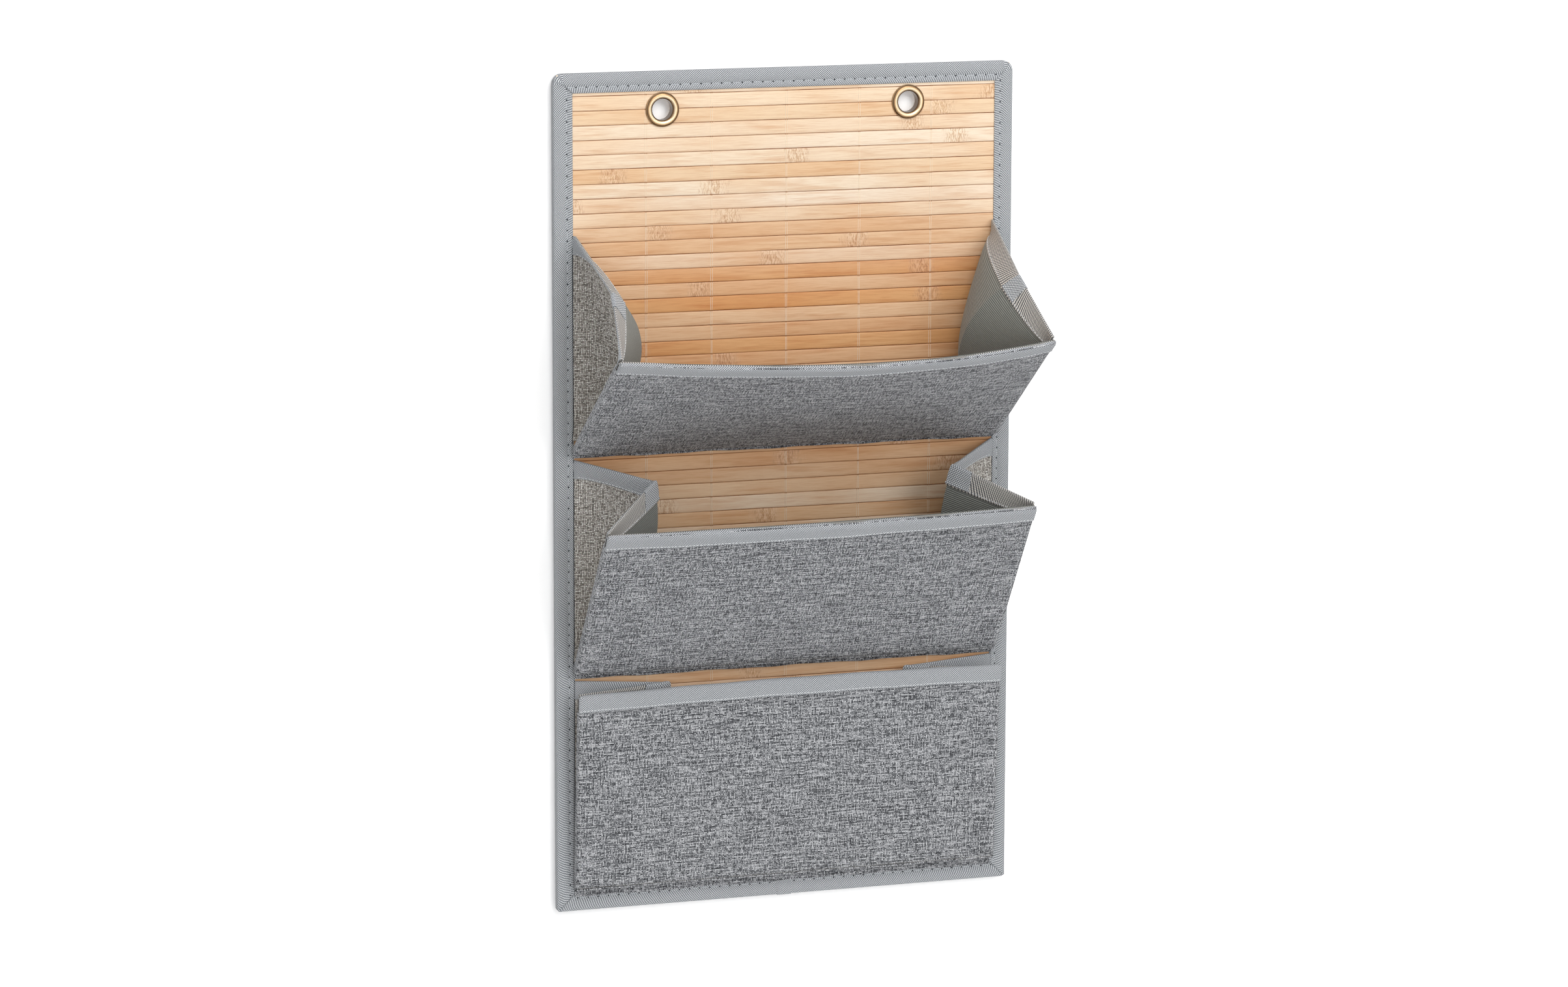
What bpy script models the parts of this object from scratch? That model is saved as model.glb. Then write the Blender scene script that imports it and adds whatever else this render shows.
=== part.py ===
"""A hanging wall organizer: a stiff back panel with a bamboo slat mat, bound round its edge with tape and hung by
two eyelets, and three bellows pockets of one cut, one above the other. The front of each pocket is a stiffened
panel that turns on the seam along its bottom edge. Each side is a gusset that folds inwards along one crease,
which runs from the bottom corner up to the rim, so the seam, both gusset seams and the crease meet in that corner.
Beside the crease a strip of the gusset's front half bends, where the halves would run through each other midway.
Metres, +Z up, and the front faces -Y. The origin lies midway between the eyelets, on the back of the rear cloth."""

import math

import bmesh
import bpy
from mathutils import Matrix

# Running clearance between pieces that touch, and how far a cutter reaches past what it cuts
CLEARANCE = 0.0003
CUTTER_OVERRUN = 0.002

# Back panel
PANEL_WIDTH = 0.341
PANEL_HEIGHT = 0.600
TOP_CORNER_RADIUS = 0.007
BOTTOM_CORNER_RADIUS = 0.0025
LEAST_CORNER_RADIUS = 0.0004
REAR_CLOTH_THICKNESS = 0.0005
BOARD_THICKNESS = 0.0020

# Bamboo mat
SCRIM_THICKNESS = 0.0004
SLAT_THICKNESS = 0.0012
SLAT_CROWN = 0.0002
SLAT_PITCH = 0.0103
SLAT_GAP = 0.0005

# Edge binding
BINDING_WIDTH = 0.012
BINDING_THICKNESS = 0.0006
BINDING_BEND_RADIUS = 0.0014
BINDING_LAP_LENGTH = 0.009
BINDING_LAP_THICKNESS = 0.0005

# Eyelets
EYELET_SIDE_MARGIN = 0.0793
EYELET_SPACING = PANEL_WIDTH - 2 * EYELET_SIDE_MARGIN
EYELET_DROP = 0.027
EYELET_BORE_RADIUS = 0.0075
EYELET_FLANGE_RADIUS = 0.0123
EYELET_WALL = 0.0006
EYELET_DOME_HEIGHT = 0.0019
EYELET_CURL_RADIUS = 0.0098
WASHER_RADIUS = 0.0118
WASHER_THICKNESS = 0.0006
WASHER_RIM_HEIGHT = 0.0003

# Pockets
POCKET_SIDE_MARGIN = 0.0124
POCKET_WIDTH = PANEL_WIDTH - 2 * POCKET_SIDE_MARGIN
LOWEST_HINGE_HEIGHT = 0.0175
FRONT_HEIGHT = 0.1445
REAR_SEAM_RISE = 0.0065
REAR_SEAM_HEIGHT = FRONT_HEIGHT + REAR_SEAM_RISE
CREASE_DROP = 0.0005
CREASE_LENGTH = FRONT_HEIGHT - CREASE_DROP
POCKET_HEADROOM = 0.008
POCKET_PITCH = REAR_SEAM_HEIGHT + POCKET_HEADROOM
CREASE_ANGLE = math.radians(26.6)
UPPER_OPENING = math.radians(52.6)
MIDDLE_OPENING = math.radians(35.5)
LOWER_OPENING = math.radians(4.5)

# Hem strip, the folded cloth that holds the bottom of a pocket front to the mat
HEM_STRIP_HEIGHT = 0.0052
HEM_STRIP_THICKNESS = 0.0015
HEM_ROLL_RADIUS = 0.0009
HEM_EDGE_RADIUS = 0.0006

# Gussets
GUSSET_CLOTH_THICKNESS = 0.0008
GUSSET_SEAM_TUCK = 0.0002
GUSSET_CORNER_TRIM = 0.010
SEAM_ROLL_RADIUS = 0.001
CREASE_HALF_GAP = 0.0002
CREASE_FOLD_ANGLE = math.radians(6.4)

# Pocket fronts
FRONT_LINING_THICKNESS = 0.0004
FRONT_BOARD_THICKNESS = 0.0016
FRONT_CLOTH_THICKNESS = 0.0007
FRONT_CROWN = 0.0022
FRONT_EDGE_RADIUS = 0.0012
FRONT_SIDE_GAP = 0.0001

# Rim tape, folded over the top edge of the fronts and the gussets
RIM_TAPE_WIDTH = 0.0125
RIM_TAPE_THICKNESS = 0.0004

# Counts of steps on round stretches
CORNER_STEPS = 6
BEND_STEPS = 4
CROWN_STEPS = 12
EYELET_STEPS = 40
DOME_STEPS = 7

# Depths of the layers, counted forwards from the back of the rear cloth
BOARD_BACK = REAR_CLOTH_THICKNESS + CLEARANCE
BOARD_FRONT = BOARD_BACK + BOARD_THICKNESS
MAT_BACK = BOARD_FRONT + CLEARANCE
SCRIM_FRONT = MAT_BACK + SCRIM_THICKNESS
MAT_FRONT = SCRIM_FRONT + SLAT_THICKNESS
BINDING_SLOT_FRONT = MAT_FRONT + CLEARANCE
BINDING_FRONT = BINDING_SLOT_FRONT + BINDING_THICKNESS

# Depths in a gusset, counted from its outer face, which stays in line with the seam that it turns on
GUSSET_CLOTH_OUTER = RIM_TAPE_THICKNESS + CLEARANCE
GUSSET_CLOTH_INNER = GUSSET_CLOTH_OUTER + GUSSET_CLOTH_THICKNESS
GUSSET_STACK = GUSSET_CLOTH_INNER + CLEARANCE + RIM_TAPE_THICKNESS

# Depths in a pocket front, counted outwards from the plane through its hinge
FRONT_TAPE_INNER = GUSSET_STACK + CLEARANCE
FRONT_LINING_INNER = FRONT_TAPE_INNER + RIM_TAPE_THICKNESS + CLEARANCE
FRONT_BOARD_INNER = FRONT_LINING_INNER + FRONT_LINING_THICKNESS + CLEARANCE
FRONT_CLOTH_INNER = FRONT_BOARD_INNER + FRONT_BOARD_THICKNESS + CLEARANCE
FRONT_CLOTH_OUTER = FRONT_CLOTH_INNER + FRONT_CLOTH_THICKNESS
FRONT_TAPE_OUTER = FRONT_CLOTH_OUTER + CLEARANCE + RIM_TAPE_THICKNESS

HINGE_DEPTH = MAT_FRONT + CLEARANCE + GUSSET_STACK
PANEL_TOP = EYELET_DROP
PANEL_BOTTOM = PANEL_TOP - PANEL_HEIGHT
HALF_POCKET = POCKET_WIDTH / 2
CORE_INSET = BINDING_THICKNESS + CLEARANCE

# Turns a flat outline so that it stands upright: facing the room, or lying along a gusset
FACING_FRONT = 0.0
LEADING_FORWARDS = -math.pi / 2
LEADING_BACKWARDS = math.pi / 2


def clear_scene():
    for old in list(bpy.data.objects):
        bpy.data.objects.remove(old)


def new_collection(name):
    collection = bpy.data.collections.new(name)
    bpy.context.scene.collection.children.link(collection)
    return collection


def surface_finish(name, colour, roughness, metallic=0.0):
    finish = bpy.data.materials.new(name)
    finish.use_nodes = True
    shader = finish.node_tree.nodes["Principled BSDF"]
    shader.inputs["Base Color"].default_value = (*colour, 1.0)
    shader.inputs["Roughness"].default_value = roughness
    shader.inputs["Metallic"].default_value = metallic
    return finish


def place(obj, collection, finish, location=(0, 0, 0), turn=None, parent=None):
    """Links a piece, gives it its finish, and puts it upright where it belongs."""
    collection.objects.link(obj)
    obj.location = location
    if turn is not None:
        obj.rotation_euler = (math.pi / 2, 0, turn)
    obj.parent = parent
    if finish is not None:
        obj.data.materials.append(finish)
    return obj


def outline_curve(name, outline, thickness):
    """A closed flat outline, filled, with half the thickness on each side of it."""
    curve = bpy.data.curves.new(name, "CURVE")
    curve.dimensions = "2D"
    curve.fill_mode = "BOTH"
    curve.extrude = thickness / 2
    spline = curve.splines.new("POLY")
    spline.points.add(len(outline) - 1)
    for point, (across, up) in zip(spline.points, outline):
        point.co = (across, up, 0, 1)
    spline.use_cyclic_u = True
    return bpy.data.objects.new(name, curve)


def as_mesh(curve_object, collection):
    """The same piece as a mesh with welded caps, so that it can be cut."""
    bpy.context.view_layer.update()
    graph = bpy.context.evaluated_depsgraph_get()
    mesh = bpy.data.meshes.new_from_object(curve_object.evaluated_get(graph))
    sheet = bmesh.new()
    sheet.from_mesh(mesh)
    bmesh.ops.remove_doubles(sheet, verts=sheet.verts, dist=CLEARANCE / 100)
    sheet.to_mesh(mesh)
    sheet.free()
    name = curve_object.name
    world = curve_object.matrix_world.copy()
    bpy.data.objects.remove(curve_object)
    solid = bpy.data.objects.new(name, mesh)
    collection.objects.link(solid)
    solid.matrix_world = world
    return solid


def plate(name, outline, thickness):
    """A flat outline as a mesh, with half the thickness on each side of it."""
    rings = [[(across, up, depth) for across, up in outline] for depth in (-thickness / 2, thickness / 2)]
    return mesh_from_rings(name, rings, closed=False)


def flat_piece(name, outline, thickness, collection, finish, location, turn, parent=None):
    return place(outline_curve(name, outline, thickness), collection, finish, location, turn, parent)


def mesh_from_rings(name, rings, closed):
    """Joins rings of points, each of one length, into a solid. Closed runs the last ring into the first, and
    otherwise both ends are capped."""
    shape = bmesh.new()
    rows = [[shape.verts.new(point) for point in ring] for ring in rings]
    pairs = list(zip(rows, rows[1:] + rows[:1] if closed else rows[1:]))
    for row, following in pairs:
        for i in range(len(row)):
            j = (i + 1) % len(row)
            shape.faces.new((row[i], row[j], following[j], following[i]))
    if not closed:
        shape.faces.new(rows[0])
        shape.faces.new(rows[-1])
    bmesh.ops.recalc_face_normals(shape, faces=shape.faces)
    mesh = bpy.data.meshes.new(name)
    shape.to_mesh(mesh)
    shape.free()
    return bpy.data.objects.new(name, mesh)


def arc(centre, radius, start, end, steps):
    """Points along an arc in a plane, from one angle to another."""
    angles = [start + (end - start) * i / steps for i in range(steps + 1)]
    return [(centre[0] + radius * math.cos(a), centre[1] + radius * math.sin(a)) for a in angles]


def panel_outline(inset):
    """The panel's outline, drawn in by the inset: rounder corners at the top than at the bottom."""
    side = PANEL_WIDTH / 2 - inset
    top = PANEL_TOP - inset
    bottom = PANEL_BOTTOM + inset
    upper = max(TOP_CORNER_RADIUS - inset, LEAST_CORNER_RADIUS)
    lower = max(BOTTOM_CORNER_RADIUS - inset, LEAST_CORNER_RADIUS)
    quarter = math.pi / 2
    return (
        arc((side - lower, bottom + lower), lower, -quarter, 0, CORNER_STEPS)
        + arc((side - upper, top - upper), upper, 0, quarter, CORNER_STEPS)
        + arc((upper - side, top - upper), upper, quarter, 2 * quarter, CORNER_STEPS)
        + arc((lower - side, bottom + lower), lower, 2 * quarter, 3 * quarter, CORNER_STEPS)
    )


def cut(obj, cutter):
    knife = obj.modifiers.new("cut", "BOOLEAN")
    knife.operation = "DIFFERENCE"
    knife.solver = "EXACT"
    knife.object = cutter


def join(obj, other):
    weld = obj.modifiers.new("join", "BOOLEAN")
    weld.operation = "UNION"
    weld.solver = "EXACT"
    weld.object = other


def hide(helper):
    helper.hide_render = True
    helper.display_type = "WIRE"
    return helper


def eyelet_cutter(name, radius, helpers):
    """A rod through the panel at each eyelet, as one cutter."""
    rods = bmesh.new()
    length = BINDING_FRONT + EYELET_DOME_HEIGHT + 2 * CUTTER_OVERRUN
    for side in (-1, 1):
        turn = Matrix.Rotation(math.pi / 2, 4, "X")
        shift = Matrix.Translation((side * EYELET_SPACING / 2, CUTTER_OVERRUN - length / 2, 0))
        bmesh.ops.create_cone(
            rods,
            cap_ends=True,
            segments=EYELET_STEPS,
            radius1=radius,
            radius2=radius,
            depth=length,
            matrix=shift @ turn,
        )
    mesh = bpy.data.meshes.new(name)
    rods.to_mesh(mesh)
    rods.free()
    return hide(place(bpy.data.objects.new(name, mesh), helpers, None))


def slat_mat_section(inset):
    """The mat's section, seen from the side: a scrim cloth with a row of slats on it, each a little crowned."""
    low = PANEL_BOTTOM + inset
    high = PANEL_TOP - inset
    count = round((high - low) / SLAT_PITCH)
    pitch = (high - low) / count
    shoulder = MAT_FRONT - SLAT_CROWN
    section = [(high, MAT_BACK), (low, MAT_BACK)]
    for i in range(count):
        foot = low + i * pitch + (SLAT_GAP / 2 if i else 0)
        head = low + (i + 1) * pitch - (SLAT_GAP / 2 if i < count - 1 else 0)
        quarter = (head - foot) / 4
        section += [
            (foot, SCRIM_FRONT),
            (foot, shoulder),
            (foot + quarter, MAT_FRONT),
            (head - quarter, MAT_FRONT),
            (head, shoulder),
            (head, SCRIM_FRONT),
        ]
    return section


def build_bamboo_mat(parts, helpers, finish, rods):
    half = PANEL_WIDTH / 2 - CORE_INSET
    section = slat_mat_section(CORE_INSET)
    rings = [[(x, -depth, height) for height, depth in section] for x in (-half, half)]
    mat = place(mesh_from_rings("bamboo_mat", rings, closed=False), parts, finish)
    # The slats are cut off round at the corners, to lie inside the binding
    rings = []
    for depth in (MAT_BACK - CUTTER_OVERRUN, MAT_FRONT + CUTTER_OVERRUN):
        rings.append([(x, -depth, z) for x, z in panel_outline(CORE_INSET)])
    corners = mat.modifiers.new("corners", "BOOLEAN")
    corners.operation = "INTERSECT"
    corners.solver = "EXACT"
    corners.object = hide(place(mesh_from_rings("mat_outline", rings, closed=False), helpers, None))
    cut(mat, rods)


def build_panel_layers(parts, finishes, rods):
    layers = (
        ("rear_cloth", 0, REAR_CLOTH_THICKNESS),
        ("backing_board", BOARD_BACK, BOARD_THICKNESS),
    )
    for name, back, thickness in layers:
        centre = (0, -(back + thickness / 2), 0)
        curve = outline_curve(name, panel_outline(CORE_INSET), thickness)
        layer = as_mesh(place(curve, parts, None, centre, FACING_FRONT), parts)
        layer.data.materials.append(finishes[name])
        cut(layer, rods)


def binding_section(lap):
    """Inset from the panel's edge and depth of each point of the folded tape, made thicker outside by the lap."""
    back = -CLEARANCE - BINDING_THICKNESS - lap
    front = BINDING_FRONT + lap
    radius = BINDING_BEND_RADIUS
    quarter = math.pi / 2
    return (
        [(BINDING_WIDTH, back)]
        + arc((radius - lap, back + radius), radius, 3 * quarter, 2 * quarter, BEND_STEPS)
        + arc((radius - lap, front - radius), radius, 2 * quarter, quarter, BEND_STEPS)
        + [
            (BINDING_WIDTH, front),
            (BINDING_WIDTH, BINDING_SLOT_FRONT),
            (BINDING_THICKNESS, BINDING_SLOT_FRONT),
            (BINDING_THICKNESS, -CLEARANCE),
            (BINDING_WIDTH, -CLEARANCE),
        ]
    )


def build_edge_binding(parts, helpers, finish):
    """The tape runs round all four edges, and its two ends lap at the middle of the bottom."""
    rings = []
    for inset, depth in binding_section(0):
        rings.append([(x, -depth, z) for x, z in panel_outline(inset)])
    binding = place(mesh_from_rings("edge_binding", rings, closed=True), parts, finish)
    half = BINDING_LAP_LENGTH / 2
    ends = []
    for x in (-half, half):
        section = binding_section(BINDING_LAP_THICKNESS)
        ends.append([(x, -depth, PANEL_BOTTOM + inset) for inset, depth in section])
    lap = hide(place(mesh_from_rings("binding_lap", ends, closed=False), helpers, None))
    join(binding, lap)


def turned_piece(name, profile, parts, finish, x):
    """A ring turned about the eyelet's axis from a closed profile of (radius, depth) points."""
    outline = bmesh.new()
    corners = [outline.verts.new((radius, 0, -depth)) for radius, depth in profile]
    for first, second in zip(corners, corners[1:] + corners[:1]):
        outline.edges.new((first, second))
    mesh = bpy.data.meshes.new(name)
    outline.to_mesh(mesh)
    outline.free()
    ring = place(bpy.data.objects.new(name, mesh), parts, finish, (x, 0, 0))
    ring.rotation_euler = (math.pi / 2, 0, 0)
    screw = ring.modifiers.new("turn", "SCREW")
    screw.axis = "Z"
    screw.steps = EYELET_STEPS
    screw.render_steps = EYELET_STEPS
    screw.use_merge_vertices = True
    screw.merge_threshold = CLEARANCE / 10
    screw.use_smooth_shade = True
    return ring


def eyelet_profile():
    """A domed flange on the mat, a barrel through the panel, and a curl over the washer at the back."""
    seat = -(MAT_FRONT + CLEARANCE)
    barrel = EYELET_BORE_RADIUS + EYELET_WALL
    curl = CLEARANCE * 2 + WASHER_THICKNESS + WASHER_RIM_HEIGHT
    middle = (EYELET_BORE_RADIUS + EYELET_FLANGE_RADIUS) / 2
    reach = (EYELET_FLANGE_RADIUS - EYELET_BORE_RADIUS) / 2
    dome = []
    for i in range(DOME_STEPS + 1):
        angle = math.pi * i / DOME_STEPS
        dome.append((middle - reach * math.cos(angle), seat - EYELET_DOME_HEIGHT * math.sin(angle)))
    return dome + [
        (barrel, seat),
        (barrel, curl),
        (EYELET_CURL_RADIUS, curl),
        (EYELET_CURL_RADIUS, curl + EYELET_WALL / 2),
        (barrel, curl + EYELET_WALL),
        (EYELET_BORE_RADIUS, curl + EYELET_WALL / 2),
    ]


def washer_profile():
    """A flat ring with a raised inner rim that the eyelet's curl grips."""
    inner = EYELET_BORE_RADIUS + EYELET_WALL + CLEARANCE
    face = CLEARANCE + WASHER_THICKNESS
    rim = inner + WASHER_THICKNESS
    return [
        (inner, CLEARANCE),
        (WASHER_RADIUS, CLEARANCE),
        (WASHER_RADIUS, face - WASHER_RIM_HEIGHT),
        (WASHER_RADIUS - WASHER_RIM_HEIGHT, face),
        (rim + WASHER_RIM_HEIGHT, face),
        (rim, face + WASHER_RIM_HEIGHT),
        (inner, face + WASHER_RIM_HEIGHT),
    ]


def build_eyelets(parts, finish):
    for side, x in (("left", -EYELET_SPACING / 2), ("right", EYELET_SPACING / 2)):
        turned_piece(f"eyelet_{side}", eyelet_profile(), parts, finish, x)
        turned_piece(f"eyelet_washer_{side}", washer_profile(), parts, finish, x)


def folded_tape(name, line, drops, inner, outer, width):
    """A tape folded over an edge. The line holds the edge's two ends, the drops how each end of the tape runs
    down from it for each metre of tape width, and inner and outer the two faces between which it lies."""
    radius = min(RIM_TAPE_THICKNESS, (outer - inner) / 2 - RIM_TAPE_THICKNESS)
    quarter = math.pi / 2
    thickness = RIM_TAPE_THICKNESS
    section = (
        [(width, inner + thickness), (width, inner)]
        + arc((radius, inner + radius), radius, 3 * quarter, 2 * quarter, BEND_STEPS)
        + arc((radius, outer - radius), radius, 2 * quarter, quarter, BEND_STEPS)
        + [(width, outer), (width, outer - thickness), (thickness, outer - thickness)]
        + [(thickness, inner + thickness)]
    )
    rings = []
    for (across, up), (drop_across, drop_up) in zip(line, drops):
        rings.append([(across + d * drop_across, up + d * drop_up, depth) for d, depth in section])
    return mesh_from_rings(name, rings, closed=False)


def crease_point(distance):
    """A point on the crease, at that distance from the bottom corner, as (distance from the seam, height)."""
    return distance * math.sin(CREASE_ANGLE), distance * math.cos(CREASE_ANGLE)


def fold_of(opening):
    """How far a gusset's halves turn in from the side when its pocket stands open by that angle. The seam, the
    crease and the front's edge are arcs on a sphere round the corner, so the fold is a spherical triangle's."""
    return math.acos(math.tan(opening / 2) / math.tan(CREASE_ANGLE))


def rim_slope(seam_height):
    """How far a rim drops towards the crease, for each metre across, and how far the cloth ends below it."""
    tip_across, tip_up = crease_point(CREASE_LENGTH)
    fall = (seam_height - tip_up) / tip_across
    rim_clear = (RIM_TAPE_THICKNESS + CLEARANCE) * math.hypot(1, fall)
    return fall, seam_height - rim_clear


def edge_from_corner(seam_height, angle, gap):
    """Both ends of a cloth edge that leaves the corner at that angle to the seam, drawn aside by the gap: where it
    starts above the corner and where it meets the cloth's top."""
    fall, cloth_top = rim_slope(seam_height)
    aside = gap / math.cos(angle)
    rise = 1 / math.tan(angle)
    meet = (cloth_top + aside * rise) / (rise + fall)
    return (GUSSET_CORNER_TRIM / rise + aside, GUSSET_CORNER_TRIM), (meet, cloth_top - fall * meet)


def gusset_shapes(seam_height, tuck, end_angle):
    """The cloth's outline and the rim line of one half, as (distance from its seam, height above the corner). The
    cloth runs from the seam to an edge at the end angle, and the rim to the crease."""
    fall, cloth_top = rim_slope(seam_height)
    slant = math.atan(fall)
    foot, head = edge_from_corner(seam_height, end_angle, -CREASE_HALF_GAP)
    cloth = [(-tuck, GUSSET_CORNER_TRIM), foot, head, (-tuck, cloth_top + fall * tuck)]
    start = CLEARANCE
    tip_in = crease_point(CREASE_LENGTH)[0] - CREASE_HALF_GAP / math.cos(CREASE_ANGLE)
    rim = [(start, seam_height - fall * start), (tip_in, seam_height - fall * tip_in)]
    # For each metre that the tape reaches in from the rim: straight down at the seam, along the crease at the tip
    crease_cos = math.cos(CREASE_ANGLE - slant)
    drops = [
        (0, -1 / math.cos(slant)),
        (-math.sin(CREASE_ANGLE) / crease_cos, -math.cos(CREASE_ANGLE) / crease_cos),
    ]
    return cloth, rim, drops


def build_gusset_half(name, seam_height, tuck, end_angle, turn, side, hinge, parts, helpers, finishes):
    """One half of a gusset: its cloth and the tape over its rim, both hung on the empty that lies on its seam.
    The outer face of the tape lies in the plane of the seam, and the rest of the half lies inside it."""
    cloth, rim, drops = gusset_shapes(seam_height, tuck, end_angle)
    # The outline's own depth axis points to the right on a half that leads backwards, and to the left otherwise
    inwards = -side
    middle = (GUSSET_CLOTH_OUTER + GUSSET_CLOTH_INNER) / 2
    sheet = plate(name, cloth, GUSSET_CLOTH_THICKNESS)
    place(sheet, parts, finishes["gusset_cloth"], (inwards * middle, 0, 0), turn, hinge)
    if tuck:
        top = seam_height - RIM_TAPE_WIDTH * -drops[0][1] - CLEARANCE
        rings = []
        for height in (GUSSET_CORNER_TRIM, top):
            circle = arc((0, 0), SEAM_ROLL_RADIUS, 0, 2 * math.pi, 4 * CORNER_STEPS)[:-1]
            rings.append([(across, depth, height) for across, depth in circle])
        join(sheet, hide(place(mesh_from_rings(f"{name}_roll", rings, closed=False), helpers, None, parent=hinge)))
    tape = folded_tape(f"{name}_tape", rim, drops, -GUSSET_STACK / 2, GUSSET_STACK / 2, RIM_TAPE_WIDTH)
    place(tape, parts, finishes["tape"], (inwards * GUSSET_STACK / 2, 0, 0), turn, hinge)


def build_gusset_fold(name, side, hinge, parts, finish):
    """The strip of cloth beside the crease, which bends as the pocket opens and closes. It fills the front half
    from the edge of its stiff part to the crease."""
    low, high = edge_from_corner(FRONT_HEIGHT, CREASE_ANGLE - CREASE_FOLD_ANGLE, CREASE_HALF_GAP)
    foot, head = edge_from_corner(FRONT_HEIGHT, CREASE_ANGLE, -CREASE_HALF_GAP)
    middle = (GUSSET_CLOTH_OUTER + GUSSET_CLOTH_INNER) / 2
    strip = plate(name, [low, foot, head, high], GUSSET_CLOTH_THICKNESS)
    place(strip, parts, finish, (-side * middle, 0, 0), LEADING_BACKWARDS, hinge)


def front_cloth_rings():
    """Rows of the front cloth, from the bottom to the top: a wide channel whose sides wrap back round the board
    and whose face swells a little in the middle, as cloth does over padding."""
    half = HALF_POCKET + FRONT_SIDE_GAP + FRONT_CLOTH_THICKNESS
    wall = FRONT_CLOTH_THICKNESS
    radius = FRONT_EDGE_RADIUS
    top = FRONT_HEIGHT - RIM_TAPE_THICKNESS - CLEARANCE
    crown_top = FRONT_HEIGHT - RIM_TAPE_WIDTH - 2 * CLEARANCE
    quarter = math.pi / 2
    rows = []
    levels = [(0, CLEARANCE)]
    for i in range(CROWN_STEPS + 1):
        levels.append((HEM_STRIP_HEIGHT + (crown_top - HEM_STRIP_HEIGHT) * i / CROWN_STEPS, CLEARANCE))
    # The sides stop under the rim tape, which folds over the whole width of the front
    levels += [(height, FRONT_CLOTH_INNER - radius) for height in (crown_top + CLEARANCE, top)]
    for height, back in levels:
        share = (height - HEM_STRIP_HEIGHT) / (crown_top - HEM_STRIP_HEIGHT)
        swell = FRONT_CROWN * math.sin(math.pi * min(max(share, 0), 1)) ** 2
        reach = half - radius
        face = []
        for i in range(1, CROWN_STEPS):
            across = -reach + 2 * reach * i / CROWN_STEPS
            face.append((across, swell * math.cos(quarter * across / reach) ** 2))
        outer = [(-half, back)]
        outer += arc((-reach, FRONT_CLOTH_OUTER - radius), radius, 2 * quarter, quarter, BEND_STEPS)
        outer += [(across, FRONT_CLOTH_OUTER + bulge) for across, bulge in face]
        outer += arc((reach, FRONT_CLOTH_OUTER - radius), radius, quarter, 0, BEND_STEPS)
        outer += [(half, back)]
        bend = radius - wall
        inner = [(half - wall, back)]
        inner += arc((reach, FRONT_CLOTH_OUTER - radius), bend, 0, quarter, BEND_STEPS)
        inner += [(across, FRONT_CLOTH_INNER + bulge) for across, bulge in reversed(face)]
        inner += arc((-reach, FRONT_CLOTH_OUTER - radius), bend, quarter, 2 * quarter, BEND_STEPS)
        inner += [(wall - half, back)]
        rows.append([(across, -depth, height) for across, depth in outer + inner])
    return rows


def build_front_cloth(name, hinge, parts, helpers, finish):
    """The cloth's face and sides, joined to the floor that runs back under the board to a roll on the hinge."""
    cloth = place(mesh_from_rings(name, front_cloth_rings(), closed=False), parts, finish, parent=hinge)
    half = HALF_POCKET
    wall = FRONT_CLOTH_THICKNESS
    quarter = math.pi / 2
    front = FRONT_CLOTH_OUTER - wall / 3
    root = math.sqrt(HEM_ROLL_RADIUS**2 - (wall / 2) ** 2)
    start = math.asin(wall / 2 / HEM_ROLL_RADIUS)
    roll = arc((0, 0), HEM_ROLL_RADIUS, start, 4 * quarter - start, 2 * CORNER_STEPS)
    section = [(front, -wall / 2), (front, wall / 2), (root, wall / 2)] + roll[1:-1] + [(root, -wall / 2)]
    rings = [[(x, -depth, height) for depth, height in section] for x in (-half, half)]
    floor = hide(place(mesh_from_rings(f"{name}_floor", rings, closed=False), helpers, None, parent=hinge))
    join(cloth, floor)


def build_front(pocket, hinge, parts, helpers, finishes):
    """Lining, board, cloth and rim tape of one front, drawn upright in the hinge's own frame."""
    floor_top = FRONT_CLOTH_THICKNESS / 2 + CLEARANCE
    top = FRONT_HEIGHT - RIM_TAPE_THICKNESS - CLEARANCE
    half = HALF_POCKET - CLEARANCE
    outline = [(-half, floor_top), (half, floor_top), (half, top), (-half, top)]
    sheets = (
        ("front_lining", FRONT_LINING_INNER, FRONT_LINING_THICKNESS, "lining"),
        ("front_board", FRONT_BOARD_INNER, FRONT_BOARD_THICKNESS, "stiffener"),
    )
    for sheet, inner, thickness, finish in sheets:
        centre = (0, -(inner + thickness / 2), 0)
        flat_piece(f"{pocket}_{sheet}", outline, thickness, parts, finishes[finish], centre, FACING_FRONT, hinge)
    build_front_cloth(f"{pocket}_front_cloth", hinge, parts, helpers, finishes["pocket_cloth"])
    tape_half = HALF_POCKET + FRONT_SIDE_GAP + FRONT_CLOTH_THICKNESS
    line = [(-tape_half, FRONT_HEIGHT), (tape_half, FRONT_HEIGHT)]
    drops = [(0, -1), (0, -1)]
    name = f"{pocket}_front_rim_tape"
    tape = folded_tape(name, line, drops, FRONT_TAPE_INNER, FRONT_TAPE_OUTER, RIM_TAPE_WIDTH)
    place(tape, parts, finishes["tape"], (0, 0, 0), FACING_FRONT, hinge)


def build_hem_strip(pocket, hinge_height, parts, finish):
    """The folded edge of the front's cloth, sewn flat to the mat just under the hinge."""
    top = hinge_height - HEM_ROLL_RADIUS - CLEARANCE
    bottom = hinge_height - HEM_STRIP_HEIGHT
    back = MAT_FRONT + CLEARANCE
    front = back + HEM_STRIP_THICKNESS
    radius = HEM_EDGE_RADIUS
    quarter = math.pi / 2
    section = [(back, top), (back, bottom)]
    section += arc((front - radius, bottom + radius), radius, -quarter, 0, BEND_STEPS)
    section += arc((front - radius, top - radius), radius, 0, quarter, BEND_STEPS)
    half = HALF_POCKET - CLEARANCE
    rings = [[(x, -depth, height) for depth, height in section] for x in (-half, half)]
    place(mesh_from_rings(f"{pocket}_hem_strip", rings, closed=False), parts, finish)


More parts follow.
